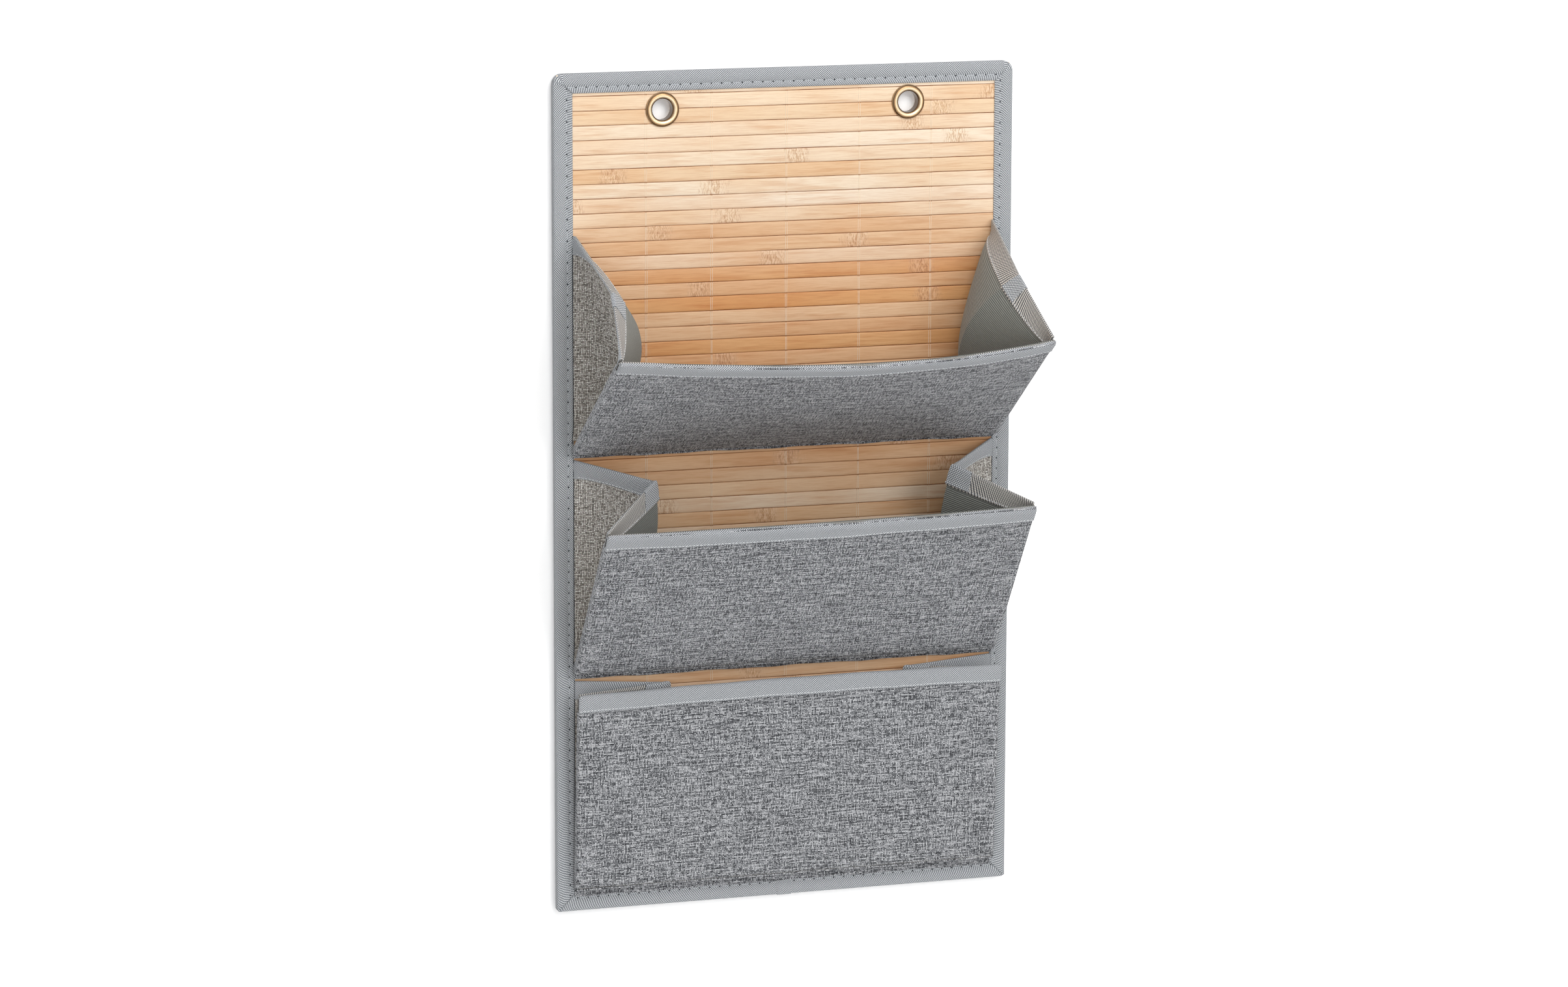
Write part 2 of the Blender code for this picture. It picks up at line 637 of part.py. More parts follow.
def new_hinge(name, location, collection, parent=None, tilt=0.0, swing=0.0):
    """An empty on a hinge's axis, tilted about X or swung about its own Z."""
    hinge = bpy.data.objects.new(name, None)
    collection.objects.link(hinge)
    hinge.location = location
    hinge.rotation_euler = (tilt, 0, swing)
    hinge.parent = parent
    return hinge


def build_pocket(pocket, number, opening, parts, helpers, finishes):
    """One pocket. Its front turns on a hinge along X. Each gusset half turns on its own seam: the rear one on the
    panel, the front one on the side edge of the front."""
    hinge_height = PANEL_BOTTOM + LOWEST_HINGE_HEIGHT + number * POCKET_PITCH
    fold = fold_of(opening)
    build_hem_strip(pocket, hinge_height, parts, finishes["pocket_cloth"])
    front = new_hinge(f"{pocket}_front_hinge", (0, -HINGE_DEPTH, hinge_height), helpers, tilt=opening)
    build_front(pocket, front, parts, helpers, finishes)
    for name, side in (("left", -1), ("right", 1)):
        seam = (side * HALF_POCKET, -HINGE_DEPTH, hinge_height)
        rear_seam = new_hinge(f"{pocket}_{name}_rear_seam", seam, helpers, swing=-side * fold)
        front_seam = new_hinge(
            f"{pocket}_{name}_front_seam", (side * HALF_POCKET, 0, 0), helpers, front, swing=side * fold
        )
        build_gusset_half(
            f"{pocket}_{name}_gusset_rear",
            REAR_SEAM_HEIGHT,
            GUSSET_SEAM_TUCK,
            CREASE_ANGLE,
            LEADING_FORWARDS,
            side,
            rear_seam,
            parts,
            helpers,
            finishes,
        )
        build_gusset_half(
            f"{pocket}_{name}_gusset_front",
            FRONT_HEIGHT,
            0,
            CREASE_ANGLE - CREASE_FOLD_ANGLE,
            LEADING_BACKWARDS,
            side,
            front_seam,
            parts,
            helpers,
            finishes,
        )
        build_gusset_fold(f"{pocket}_{name}_gusset_fold", side, front_seam, parts, finishes["gusset_cloth"])


def build_organizer():
    clear_scene()
    parts = new_collection("wall_organizer")
    helpers = new_collection("hinges_and_cutters")
    helpers.hide_render = True
    tape = surface_finish("woven_tape", (0.40, 0.43, 0.46), 0.85)
    finishes = {
        "tape": tape,
        "rear_cloth": surface_finish("rear_cloth", (0.33, 0.35, 0.37), 0.9),
        "backing_board": surface_finish("fibreboard", (0.36, 0.25, 0.15), 0.8),
        "pocket_cloth": surface_finish("melange_cloth", (0.20, 0.21, 0.22), 0.9),
        "gusset_cloth": surface_finish("melange_gusset_cloth", (0.24, 0.23, 0.21), 0.9),
        "lining": surface_finish("ribbed_lining", (0.34, 0.37, 0.36), 0.7),
        "stiffener": surface_finish("grey_board", (0.45, 0.44, 0.42), 0.85),
    }
    bamboo = surface_finish("bamboo", (0.80, 0.55, 0.32), 0.45)
    brass = surface_finish("antique_brass", (0.42, 0.30, 0.18), 0.32, metallic=1.0)
    hole = EYELET_BORE_RADIUS + EYELET_WALL + CLEARANCE
    rods = eyelet_cutter("eyelet_holes", hole, helpers)
    build_panel_layers(parts, finishes, rods)
    build_bamboo_mat(parts, helpers, bamboo, rods)
    build_edge_binding(parts, helpers, tape)
    build_eyelets(parts, brass)
    for number, (pocket, opening) in enumerate(
        (("lower", LOWER_OPENING), ("middle", MIDDLE_OPENING), ("upper", UPPER_OPENING))
    ):
        build_pocket(pocket, number, opening, parts, helpers, finishes)


build_organizer()
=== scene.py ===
"""The looks of a hanging wall organizer: a stiff panel with a bamboo slat mat, bound round its edge with woven tape,
hung by two brass eyelets, with three bellows pockets of grey melange cloth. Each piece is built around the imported
model. Metres, +X right, -Y towards the room, +Z up, and the origin lies midway between the eyelets."""

import math

import bmesh
import bpy
import numpy as np
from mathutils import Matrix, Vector


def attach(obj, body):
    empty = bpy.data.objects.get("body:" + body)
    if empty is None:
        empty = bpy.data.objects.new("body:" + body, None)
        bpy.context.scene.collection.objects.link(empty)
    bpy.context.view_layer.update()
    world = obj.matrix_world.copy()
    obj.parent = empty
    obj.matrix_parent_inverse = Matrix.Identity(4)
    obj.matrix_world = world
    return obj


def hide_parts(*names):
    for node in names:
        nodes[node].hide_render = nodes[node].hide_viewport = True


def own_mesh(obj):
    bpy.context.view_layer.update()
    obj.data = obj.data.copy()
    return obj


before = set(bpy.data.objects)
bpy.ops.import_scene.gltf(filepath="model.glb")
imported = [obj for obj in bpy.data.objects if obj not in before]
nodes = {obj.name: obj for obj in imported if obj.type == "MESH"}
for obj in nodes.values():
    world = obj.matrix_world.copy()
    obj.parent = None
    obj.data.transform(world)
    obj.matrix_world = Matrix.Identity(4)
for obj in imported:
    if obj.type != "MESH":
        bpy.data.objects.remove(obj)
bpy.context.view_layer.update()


# Camera and stage. The camera stands to the left of the middle and looks down a little through a long lens. The
# stage is a white studio sweep: a wall close behind the panel that runs down into a floor.

CAMERA_PLACE = (-1.1518, -3.4957, 0.3953)
CAMERA_TURN_DEGREES = (79.6194, -0.1553, -18.2210)
CAMERA_LENS_MM = 120.023

camera_data = bpy.data.cameras.new("camera")
camera_data.sensor_width = 36.0
camera_data.lens = CAMERA_LENS_MM
camera_data.clip_end = 50.0
camera = bpy.data.objects.new("camera", camera_data)
camera.location = CAMERA_PLACE
camera.rotation_euler = [math.radians(a) for a in CAMERA_TURN_DEGREES]
bpy.context.scene.collection.objects.link(camera)
bpy.context.scene.camera = camera
bpy.context.scene.view_settings.view_transform = "Standard"


def linear(code):
    """An sRGB hex colour as linear light: each channel is divided by 12.92 when dark, and otherwise raised to 2.4."""
    channels = [int(code[i : i + 2], 16) / 255 for i in (1, 3, 5)]
    return tuple(c / 12.92 if c <= 0.04045 else ((c + 0.055) / 1.055) ** 2.4 for c in channels) + (1.0,)


def add(tree, kind, inputs=None, stops=None, **settings):
    """Adds a shader node with its settings. Inputs are sockets to link or values to set, and stops are the places
    and colours of a ramp."""
    made = tree.nodes.new("ShaderNode" + kind)
    for key, value in settings.items():
        setattr(made, key, value)
    if stops:
        ramp = made.color_ramp.elements
        while len(ramp) < len(stops):
            ramp.new(1.0)
        for element, (place, colour) in zip(ramp, stops):
            element.position = place
            element.color = linear(colour)
    for key, value in (inputs or {}).items():
        socket = made.inputs[key]
        if isinstance(value, bpy.types.NodeSocket):
            tree.links.new(value, socket)
        else:
            socket.default_value = value
    return made


def new_finish(name):
    """An empty material, its tree, its Principled shader and its output."""
    finish = bpy.data.materials.new(name)
    finish.use_nodes = True
    tree = finish.node_tree
    return finish, tree, tree.nodes["Principled BSDF"]


def link_piece(name, mesh, finish):
    piece = bpy.data.objects.new(name, mesh)
    bpy.context.scene.collection.objects.link(piece)
    mesh.materials.clear()
    mesh.materials.append(finish)
    return piece


SWEEP_BACK = 0.0032
SWEEP_RADIUS = 0.35
SWEEP_FLOOR = -1.05
SWEEP_REACH = 4.0
SWEEP_HALF_WIDTH = 6.0
SWEEP_TOP = 4.0

# The profile runs down the wall, round a quarter circle and out over the floor.
bend = np.linspace(0, math.pi / 2, 24)
sweep_y = np.concatenate([[SWEEP_BACK], SWEEP_BACK - SWEEP_RADIUS * (1 - np.cos(bend)), [-SWEEP_REACH]])
sweep_z = np.concatenate([[SWEEP_TOP], SWEEP_FLOOR + SWEEP_RADIUS * (1 - np.sin(bend)), [SWEEP_FLOOR]])
rows = len(sweep_y)
sweep_points = np.zeros((2, rows, 3))
sweep_points[0, :, 0] = -SWEEP_HALF_WIDTH
sweep_points[1, :, 0] = SWEEP_HALF_WIDTH
sweep_points[:, :, 1] = sweep_y
sweep_points[:, :, 2] = sweep_z
low = np.arange(rows - 1)
sweep_faces = np.stack([low, low + 1, low + 1 + rows, low + rows], axis=1)
sweep_mesh = bpy.data.meshes.new("studio_sweep")
sweep_mesh.from_pydata(sweep_points.reshape(-1, 3).tolist(), [], sweep_faces.tolist())

# White painted board, lit a little past white for the camera, so that only the shadow close to the panel is left. Seen
# from behind it is clear, and so it is to light that leaves the panel's back close by, so the back can be looked at.
sweep_white, tree, shader = new_finish("white_painted_board")
SWEEP_GAIN = 1.36
SWEEP_CLEAR_REACH = 0.015
shader.inputs["Base Color"].default_value = linear("#F4F4F4")
shader.inputs["Roughness"].default_value = 0.9
shader.inputs["Specular IOR Level"].default_value = 0.0


def seen_share(tree):
    """The light path's node, and a node that is 1 for what the camera sees, also by a reflection or through glass."""
    rays = add(tree, "LightPath")
    seen = add(tree, "Math", {0: rays.outputs["Is Camera Ray"], 1: rays.outputs["Is Glossy Ray"]}, operation="MAXIMUM")
    return rays, add(tree, "Math", {0: seen.outputs[0], 1: rays.outputs["Is Transmission Ray"]}, operation="MAXIMUM")


rays, seen = seen_share(tree)
bright = add(tree, "BsdfDiffuse", {"Color": (SWEEP_GAIN, SWEEP_GAIN, SWEEP_GAIN, 1)})
both = add(tree, "MixShader", {0: seen.outputs[0], 1: shader.outputs[0], 2: bright.outputs[0]})
face = add(tree, "NewGeometry")
close_by = add(tree, "Math", {0: rays.outputs["Ray Length"], 1: SWEEP_CLEAR_REACH}, operation="LESS_THAN")
clear_share = add(tree, "Math", {0: face.outputs["Backfacing"], 1: close_by.outputs[0]}, operation="MAXIMUM")
clear = add(tree, "BsdfTransparent")
shown = add(tree, "MixShader", {0: clear_share.outputs[0], 1: both.outputs[0], 2: clear.outputs[0]})
tree.links.new(shown.outputs[0], tree.nodes["Material Output"].inputs["Surface"])
sweep = link_piece("studio_sweep", sweep_mesh, sweep_white)

# Plain soft light: large lamps from the right in front, from the left, from above and from low in front, and a pale
# surround.
LAMPS = (
    ("key_lamp", (1.1, -2.2, 0.5), 1.3, 15.0),
    ("fill_lamp", (-2.2, -2.6, 0.3), 1.8, 8.0),
    ("top_lamp", (0.0, -1.1, 0.95), 0.9, 11.0),
    ("low_lamp", (0.1, -2.2, -0.85), 1.2, 6.0),
)
LIT_POINT = Vector((0.0, -0.03, -0.25))
for name, place, size, power in LAMPS:
    lamp_data = bpy.data.lights.new(name, "AREA")
    lamp_data.shape = "SQUARE"
    lamp_data.size = size
    lamp_data.energy = power
    lamp = bpy.data.objects.new(name, lamp_data)
    lamp.location = place
    lamp.rotation_euler = (LIT_POINT - Vector(place)).to_track_quat("-Z", "Y").to_euler()
    bpy.context.scene.collection.objects.link(lamp)

SURROUND_STRENGTH = 0.36
world = bpy.data.worlds.new("pale_surround")
world.use_nodes = True
bpy.context.scene.world = world
tree = world.node_tree
background = tree.nodes["Background"]
rays, seen = seen_share(tree)
strength = add(tree, "MapRange", {0: seen.outputs[0], 3: SURROUND_STRENGTH, 4: 1.0})
background.inputs["Color"].default_value = (1, 1, 1, 1)
tree.links.new(strength.outputs[0], background.inputs["Strength"])


# Panel core: a stiff fibreboard, hidden inside, and the cloth glued over its back. The cloth has a square cut at each
# eyelet, under the washer.

PANEL_WIDTH = 0.341
PANEL_TOP = 0.027
PANEL_BOTTOM = -0.573
CORE_INSET = 0.0009
REAR_CLOTH_THICKNESS = 0.0005
EYELET_SPACING = 0.1824
EYELET_HOLE_HALF = 0.0083
CORNER_CUT = 0.0026
SHARP_ANGLE = math.radians(40)


def closed_mesh(name, points, faces, weave=None, seed=None):
    """A mesh of points and faces with its normals turned outwards, smooth but for its sharp edges. Weave holds, for
    each point, metres along and across the cloth, and seed a number for each strip of a material."""
    mesh = bpy.data.meshes.new(name)
    mesh.from_pydata(points.tolist(), [], faces)
    shape = bmesh.new()
    shape.from_mesh(mesh)
    bmesh.ops.recalc_face_normals(shape, faces=shape.faces)
    for face in shape.faces:
        face.smooth = True
    for edge in shape.edges:
        edge.smooth = edge.calc_face_angle(0.0) < SHARP_ANGLE
    shape.to_mesh(mesh)
    shape.free()
    if weave is not None:
        field = mesh.attributes.new("weave", "FLOAT_VECTOR", "POINT")
        field.data.foreach_set("vector", np.ascontiguousarray(weave, dtype=np.float32).ravel())
    if seed is not None:
        field = mesh.attributes.new("strip", "FLOAT", "POINT")
        field.data.foreach_set("value", np.ascontiguousarray(seed, dtype=np.float32))
    return mesh


def cut_sheet(name, across, up, depth, thickness, kept):
    """A flat sheet of cells between the lines across and up, at a depth, that keeps the cells named by kept. Each
    cell has a front and a back face, and a wall wherever its neighbour is missing."""
    columns, levels = len(across), len(up)
    x, z = np.meshgrid(across, up, indexing="ij")
    # The top corners are cut a little round, under the binding
    for side in (0, -1):
        x[side, -1] *= 1 - CORNER_CUT / abs(x[side, -1])
        z[side, -1] -= CORNER_CUT
    front = np.stack([x, np.full_like(x, depth - thickness), z], -1).reshape(-1, 3)
    back = np.stack([x, np.full_like(x, depth), z], -1).reshape(-1, 3)
    index = np.arange(columns * levels).reshape(columns, levels)
    a, b, c, d = index[:-1, :-1], index[1:, :-1], index[1:, 1:], index[:-1, 1:]
    offset = columns * levels
    faces = [np.stack([a, b, c, d], -1)[kept], np.stack([d, c, b, a], -1)[kept] + offset]
    padded = np.pad(kept, 1)
    sides = (
        (padded[:-2, 1:-1], a, d),
        (padded[2:, 1:-1], b, c),
        (padded[1:-1, :-2], a, b),
        (padded[1:-1, 2:], d, c),
    )
    for neighbour, first, second in sides:
        open_side = kept & ~neighbour
        wall = np.stack([first, second, second + offset, first + offset], -1)[open_side]
        faces.append(wall)
    points = np.concatenate([front, back])
    faces = np.concatenate(faces)
    used = np.unique(faces)
    renumber = np.zeros(len(points), int)
    renumber[used] = np.arange(len(used))
    weave = np.stack([points[:, 0], points[:, 2], points[:, 1] * 0], -1)
    return closed_mesh(name, points[used], renumber[faces].tolist(), weave[used])


def lines_past_holes(start, end, step, centres):
    """Grid lines a step apart, with a line at each edge of each hole and none inside it."""
    plain = np.arange(start, end, step)
    edges = np.array([c + s * EYELET_HOLE_HALF for c in centres for s in (-1, 1)])
    near = np.any([np.abs(plain - c) < EYELET_HOLE_HALF + step / 3 for c in centres], axis=0)
    return np.unique(np.concatenate([plain[~near], edges, [end]]))


def panel_sheet(name, depth, thickness, step):
    """A sheet as large as the core of the panel, with the two eyelet holes left out."""
    half = PANEL_WIDTH / 2 - CORE_INSET
    across = lines_past_holes(-half, half, step, (-EYELET_SPACING / 2, EYELET_SPACING / 2))
    up = lines_past_holes(PANEL_BOTTOM + CORE_INSET, PANEL_TOP - CORE_INSET, step, (0.0,))
    x = (across[:-1] + across[1:])[:, None] / 2
    z = (up[:-1] + up[1:])[None, :] / 2
    hole = (np.abs(np.abs(x) - EYELET_SPACING / 2) < EYELET_HOLE_HALF) & (np.abs(z) < EYELET_HOLE_HALF)
    return cut_sheet(name, across, up, depth, thickness, ~hole)


def make_mottled(name, dark, pale, roughness, flecks, detail=2.0):
    """A matt finish whose tone wanders between two colours, with about so many flecks to the metre."""
    finish, tree, shader = new_finish(name)
    place = add(tree, "TexCoord")
    fleck = add(tree, "TexNoise", {"Vector": place.outputs["Object"], "Scale": flecks, "Detail": detail})
    tone = add(tree, "ValToRGB", {0: fleck.outputs[0]}, stops=((0.3, dark), (0.7, pale)))
    tree.links.new(tone.outputs[0], shader.inputs["Base Color"])
    shader.inputs["Roughness"].default_value = roughness
    return finish


# Fibreboard: pressed brown wood fibre, dull and faintly flecked.
fibreboard = make_mottled("pressed_fibreboard", "#7A5A3C", "#A07C56", 0.85, 900.0, 3.0)
nodes["backing_board"].data.materials[0] = fibreboard

# Backing cloth: plain woven grey polyester, with a fine even thread.
backing_cloth, tree, shader = new_finish("plain_woven_backing_cloth")
BACKING_THREAD = 0.0009


def woven_cell(tree, place, warp, weft):
    """The place's axes, a sine along the cloth and one across it, and their product, the woven cell: it is positive
    where a thread along the cloth lies on top, and negative where one across does."""
    axes = add(tree, "SeparateXYZ", {0: place})
    waves = []
    for axis, thread in enumerate((warp, weft)):
        wave = add(tree, "Math", {0: axes.outputs[axis], 1: math.pi / thread}, operation="MULTIPLY")
        waves.append(add(tree, "Math", {0: wave.outputs[0]}, operation="SINE"))
    along, across = waves
    return axes, along, across, add(tree, "Math", {0: along.outputs[0], 1: across.outputs[0]}, operation="MULTIPLY")


weave = add(tree, "Attribute", attribute_name="weave")
cell = woven_cell(tree, weave.outputs["Vector"], BACKING_THREAD, BACKING_THREAD)[-1]
tone = add(tree, "MapRange", {0: cell.outputs[0], 1: -1.0, 2: 1.0})
tone = add(tree, "ValToRGB", {0: tone.outputs[0]}, stops=((0.0, "#7E838A"), (1.0, "#A3A8AE")))
bump = add(tree, "Bump", {"Strength": 0.4, "Distance": 0.0002, "Height": cell.outputs[0]})
tree.links.new(tone.outputs[0], shader.inputs["Base Color"])
tree.links.new(bump.outputs[0], shader.inputs["Normal"])
shader.inputs["Roughness"].default_value = 0.9
shader.inputs["Sheen Weight"].default_value = 0.2

rear_mesh = panel_sheet("rear_backing_cloth", 0.0, REAR_CLOTH_THICKNESS, 0.012)
rear_cloth = link_piece("rear_backing_cloth", rear_mesh, backing_cloth)
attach(rear_cloth, "back_panel")
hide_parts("rear_cloth")


# Bamboo mat: split bamboo slats, planed smooth, laid edge to edge on a scrim cloth and tied by five pairs of fine
# threads that run over the slats and dip into the gaps between them. Each slat has its own tone and its own knots.

SCRIM_BACK = -0.0031
SCRIM_THICKNESS = 0.0004
SLAT_BACK = -0.0035
SLAT_FRONT = -0.0047
SLAT_CROWN = 0.00012
SLAT_EDGE = 0.00014
SLAT_PITCH = 0.0103
SLAT_GAP = 0.0003
SLAT_PHASE = 0.0005
SLAT_WANDER = 0.00006
SLAT_COLUMN = 0.004
FINE_COLUMN = 0.0012
BARREL_CLEAR_RADIUS = 0.0083
MAT_LOW = PANEL_BOTTOM + CORE_INSET
MAT_HIGH = PANEL_TOP - CORE_INSET
TOP_CORNER_RADIUS = 0.007
draw = np.random.default_rng(11)


def slat_ring(low_edge, high_edge, lean):
    """The slat's section at each column, as offsets: a flat back, eased edges and a low crown. Low and high edges
    are arrays over the columns, and lean tips the face a little."""
    rise = high_edge - low_edge
    shares = np.array([0.0, 0.0, 0.03, 0.15, 0.35, 0.5, 0.65, 0.85, 0.97, 1.0, 1.0])
    crown = 4 * shares * (1 - shares)
    face = SLAT_FRONT + SLAT_CROWN * (1 - crown)
    face[[0, 10]] = SLAT_BACK
    face[[1, 9]] = SLAT_FRONT + SLAT_CROWN + SLAT_EDGE
    z = low_edge[:, None] + shares[None, :] * rise[:, None]
    tip = lean * (shares - 0.5)
    tip[[0, 10]] = 0.0
    y = np.broadcast_to(face + tip, z.shape)
    return y, z


def slat_faces(columns, around, start):
    """Quads round the slat between neighbouring columns, and a cap at each end."""
    index = start + np.arange(columns * around).reshape(columns, around)
    ahead = np.roll(index, -1, axis=1)
    quads = np.stack([index[:-1], ahead[:-1], ahead[1:], index[1:]], -1).reshape(-1, 4)
    return quads.tolist() + [index[0].tolist(), index[-1][::-1].tolist()]


slat_points, slat_quads, slat_seeds = [], [], []
half_mat = PANEL_WIDTH / 2 - CORE_INSET
lowest = math.floor((MAT_LOW - SLAT_PHASE) / SLAT_PITCH)
highest = math.ceil((MAT_HIGH - SLAT_PHASE) / SLAT_PITCH)
vertex = 0
for number in range(lowest, highest):
    foot = max(SLAT_PHASE + number * SLAT_PITCH + SLAT_GAP / 2, MAT_LOW)
    head = min(SLAT_PHASE + (number + 1) * SLAT_PITCH - SLAT_GAP / 2, MAT_HIGH)
    seed = draw.random()
    waves = draw.uniform(0, 2 * math.pi, 4)
    lean = draw.uniform(-0.0001, 0.0001)
    if head - foot < SLAT_PITCH / 5:
        continue
    near = foot < BARREL_CLEAR_RADIUS and head > -BARREL_CLEAR_RADIUS
    columns = int(round(2 * half_mat / (FINE_COLUMN if near else SLAT_COLUMN))) + 1
    x = np.linspace(-half_mat, half_mat, columns)
    # Split bamboo isn't quite straight, so each edge wanders by a tenth of a millimetre
    low_edge = foot + SLAT_WANDER * (np.sin(34 * x + waves[0]) + np.sin(79 * x + waves[1]))
    high_edge = head + SLAT_WANDER * (np.sin(29 * x + waves[2]) + np.sin(83 * x + waves[3]))
    # The top slats stop short of the panel's rounded corners
    past = max((foot + head) / 2 - (MAT_HIGH - TOP_CORNER_RADIUS), 0.0)
    x = x * (1 - (TOP_CORNER_RADIUS - math.sqrt(TOP_CORNER_RADIUS**2 - past**2)) / half_mat)
    if near:
        for centre in (-EYELET_SPACING / 2, EYELET_SPACING / 2):
            reach = np.sqrt(np.maximum(BARREL_CLEAR_RADIUS**2 - (x - centre) ** 2, 0))
            if foot + head > 0:
                low_edge = np.maximum(low_edge, reach)
            else:
                high_edge = np.minimum(high_edge, np.where(reach > 0, -reach, high_edge))
    y, z = slat_ring(low_edge, high_edge, lean)
    ring = np.stack([np.broadcast_to(x[:, None], z.shape), y, z], -1)
    slat_points.append(ring.reshape(-1, 3))
    slat_quads += slat_faces(columns, ring.shape[1], vertex)
    slat_seeds.append(np.full(ring.shape[0] * ring.shape[1], seed))
    vertex += ring.shape[0] * ring.shape[1]

# Split bamboo: pale honey wood with fine straight grain, satin from planing. Tone changes from slat to slat, and each
# knot is a short mottled patch where the stem's joint was.
bamboo, tree, shader = new_finish("split_bamboo")
strip = add(tree, "Attribute", attribute_name="strip")
place = add(tree, "TexCoord")
axes = add(tree, "SeparateXYZ", {0: place.outputs["Object"]})
shift = add(tree, "Math", {0: strip.outputs["Fac"], 1: 37.0}, operation="MULTIPLY")
along = add(tree, "Math", {0: axes.outputs[0], 1: shift.outputs[0]}, operation="ADD")
own_place = add(tree, "CombineXYZ", {0: along.outputs[0], 1: shift.outputs[0], 2: axes.outputs[2]})
own = own_place.outputs[0]
# Grain lines are drawn out along the slat: about 0.25 mm apart, and 10 mm and more long
GRAIN_DRAW = 40
STREAK_DRAW = 14
stretch = add(tree, "Mapping", {"Vector": own, "Scale": (1 / GRAIN_DRAW, 1, 1)})
grain = add(tree, "TexNoise", {"Vector": stretch.outputs[0], "Scale": 2600.0, "Detail": 4.0, "Roughness": 0.65})
broad = add(tree, "Mapping", {"Vector": own, "Scale": (1 / STREAK_DRAW, 1, 1)})
streak = add(tree, "TexNoise", {"Vector": broad.outputs[0], "Scale": 330.0, "Detail": 3.0})
slow = add(tree, "TexNoise", {"Vector": own, "Scale": 9.0, "Detail": 1.0})
base = add(tree, "ValToRGB", {0: strip.outputs["Fac"]}, stops=(
    (0.0, "#F9E6CC"), (0.2, "#FBECD8"), (0.4, "#F1D3AE"), (0.6, "#FAE8D0"), (0.8, "#F6DDBD"), (1.0, "#FDF1E0")))
grained = add(tree, "ValToRGB", {0: grain.outputs[0]}, stops=((0.34, "#D3AC80"), (0.56, "#FFFFFF")))
first = add(tree, "Mix", {0: 0.34, 6: base.outputs[0], 7: grained.outputs[0]}, data_type="RGBA", blend_type="MULTIPLY")
streaked = add(tree, "ValToRGB", {0: streak.outputs[0]}, stops=((0.30, "#DDB48A"), (0.5, "#FFFFFF")))
multiply = {"data_type": "RGBA", "blend_type": "MULTIPLY"}
second = add(tree, "Mix", {0: 0.4, 6: first.outputs[2], 7: streaked.outputs[0]}, **multiply)
slow_tone = add(tree, "ValToRGB", {0: slow.outputs[0]}, stops=((0.36, "#F0D2AE"), (0.6, "#FFFFFF")))
third = add(tree, "Mix", {0: 0.5, 6: second.outputs[2], 7: slow_tone.outputs[0]}, **multiply)
# From about 60 mm below the eyelets the slats turn warmer and more orange, fully from 130 mm down. From 230 to 270 mm
# the warmth falls to about a third, and its strength differs from slat to slat.
warm_band = add(tree, "MapRange", {0: axes.outputs[2], 1: -0.06, 2: -0.13})
warm_band_end = add(tree, "MapRange", {0: axes.outputs[2], 1: -0.23, 2: -0.27, 3: 1.0, 4: 0.35})
warm_band = add(tree, "Math", {0: warm_band.outputs[0], 1: warm_band_end.outputs[0]}, operation="MULTIPLY")
warm_band_part = add(tree, "Math", {0: strip.outputs["Fac"], 1: 0.5, 2: 0.6}, operation="MULTIPLY_ADD")
warm_band_share = add(tree, "Math", {0: warm_band.outputs[0], 1: warm_band_part.outputs[0]}, operation="MULTIPLY")
warm = add(tree, "Mix", {0: warm_band_share.outputs[0], 6: third.outputs[2], 7: linear("#EDC294")}, **multiply)

def slat_phase(tree, height):
    """How far a height lies from the middle of its slat: 0 in the middle, a half in the gap."""
    share = {0: height, 1: 1 / SLAT_PITCH, 2: -SLAT_PHASE / SLAT_PITCH}
    phase = add(tree, "Math", share, operation="MULTIPLY_ADD")
    phase = add(tree, "Math", {0: phase.outputs[0]}, operation="FRACT")
    phase = add(tree, "Math", {0: phase.outputs[0], 1: 0.5}, operation="SUBTRACT")
    return add(tree, "Math", {0: phase.outputs[0]}, operation="ABSOLUTE")


# Each slat darkens to orange brown towards its long edges: painted shade on its rounded edges beside the gaps
phase = slat_phase(tree, axes.outputs[2])
fringe = add(tree, "Math", {0: streak.outputs[0], 1: 0.07, 2: phase.outputs[0]}, operation="MULTIPLY_ADD")
edge_shade_share = add(tree, "ValToRGB", {0: fringe.outputs[0]}, stops=((0.475, "#000000"), (0.515, "#A8A8A8")))
edge_shaded = add(tree, "Mix", {0: edge_shade_share.outputs[0], 6: warm.outputs[2], 7: linear("#AD6A34")}, data_type="RGBA")
# Blotches: here and there the skin's red brown shows through, in patches drawn out along the slat
drawn = add(tree, "Mapping", {"Vector": own, "Scale": (11, 1, 95)})
blotch = add(tree, "TexNoise", {"Vector": drawn.outputs[0], "Scale": 1.0, "Detail": 4.0, "Roughness": 0.6})
blotch_share = add(tree, "ValToRGB", {0: blotch.outputs[0]}, stops=((0.62, "#000000"), (0.76, "#8C8C8C")))
stained = add(tree, "Mix", {0: blotch_share.outputs[0], 6: edge_shaded.outputs[2], 7: linear("#C07C48")}, data_type="RGBA")
# Knots: one every 330 mm of slat, about 16 mm long. Tan strokes as fine as a brush's run across the slat on a pale
# ground, thick in the middle of the knot and thin at its ends
KNOT_SPACING = 0.33
knot_cell = add(tree, "Math", {0: along.outputs[0], 1: 1 / KNOT_SPACING}, operation="MULTIPLY")
knot_part = add(tree, "Math", {0: knot_cell.outputs[0]}, operation="FRACT")
knot_off = add(tree, "Math", {0: knot_part.outputs[0], 1: 0.5}, operation="SUBTRACT")
knot_far = add(tree, "Math", {0: knot_off.outputs[0]}, operation="ABSOLUTE")
ragged = add(tree, "TexNoise", {"Vector": own, "Scale": 170.0, "Detail": 2.0})
knot_edge = add(tree, "Math", {0: ragged.outputs[0], 1: 0.045, 2: knot_far.outputs[0]}, operation="MULTIPLY_ADD")
knot_near = add(tree, "MapRange", {0: knot_edge.outputs[0], 1: 0.062, 2: 0.030}, interpolation_type="SMOOTHSTEP")
bent = add(tree, "TexNoise", {"Vector": own, "Scale": 240.0, "Detail": 1.0})
bent_x = add(tree, "Math", {0: bent.outputs[0], 1: 0.0022, 2: along.outputs[0]}, operation="MULTIPLY_ADD")
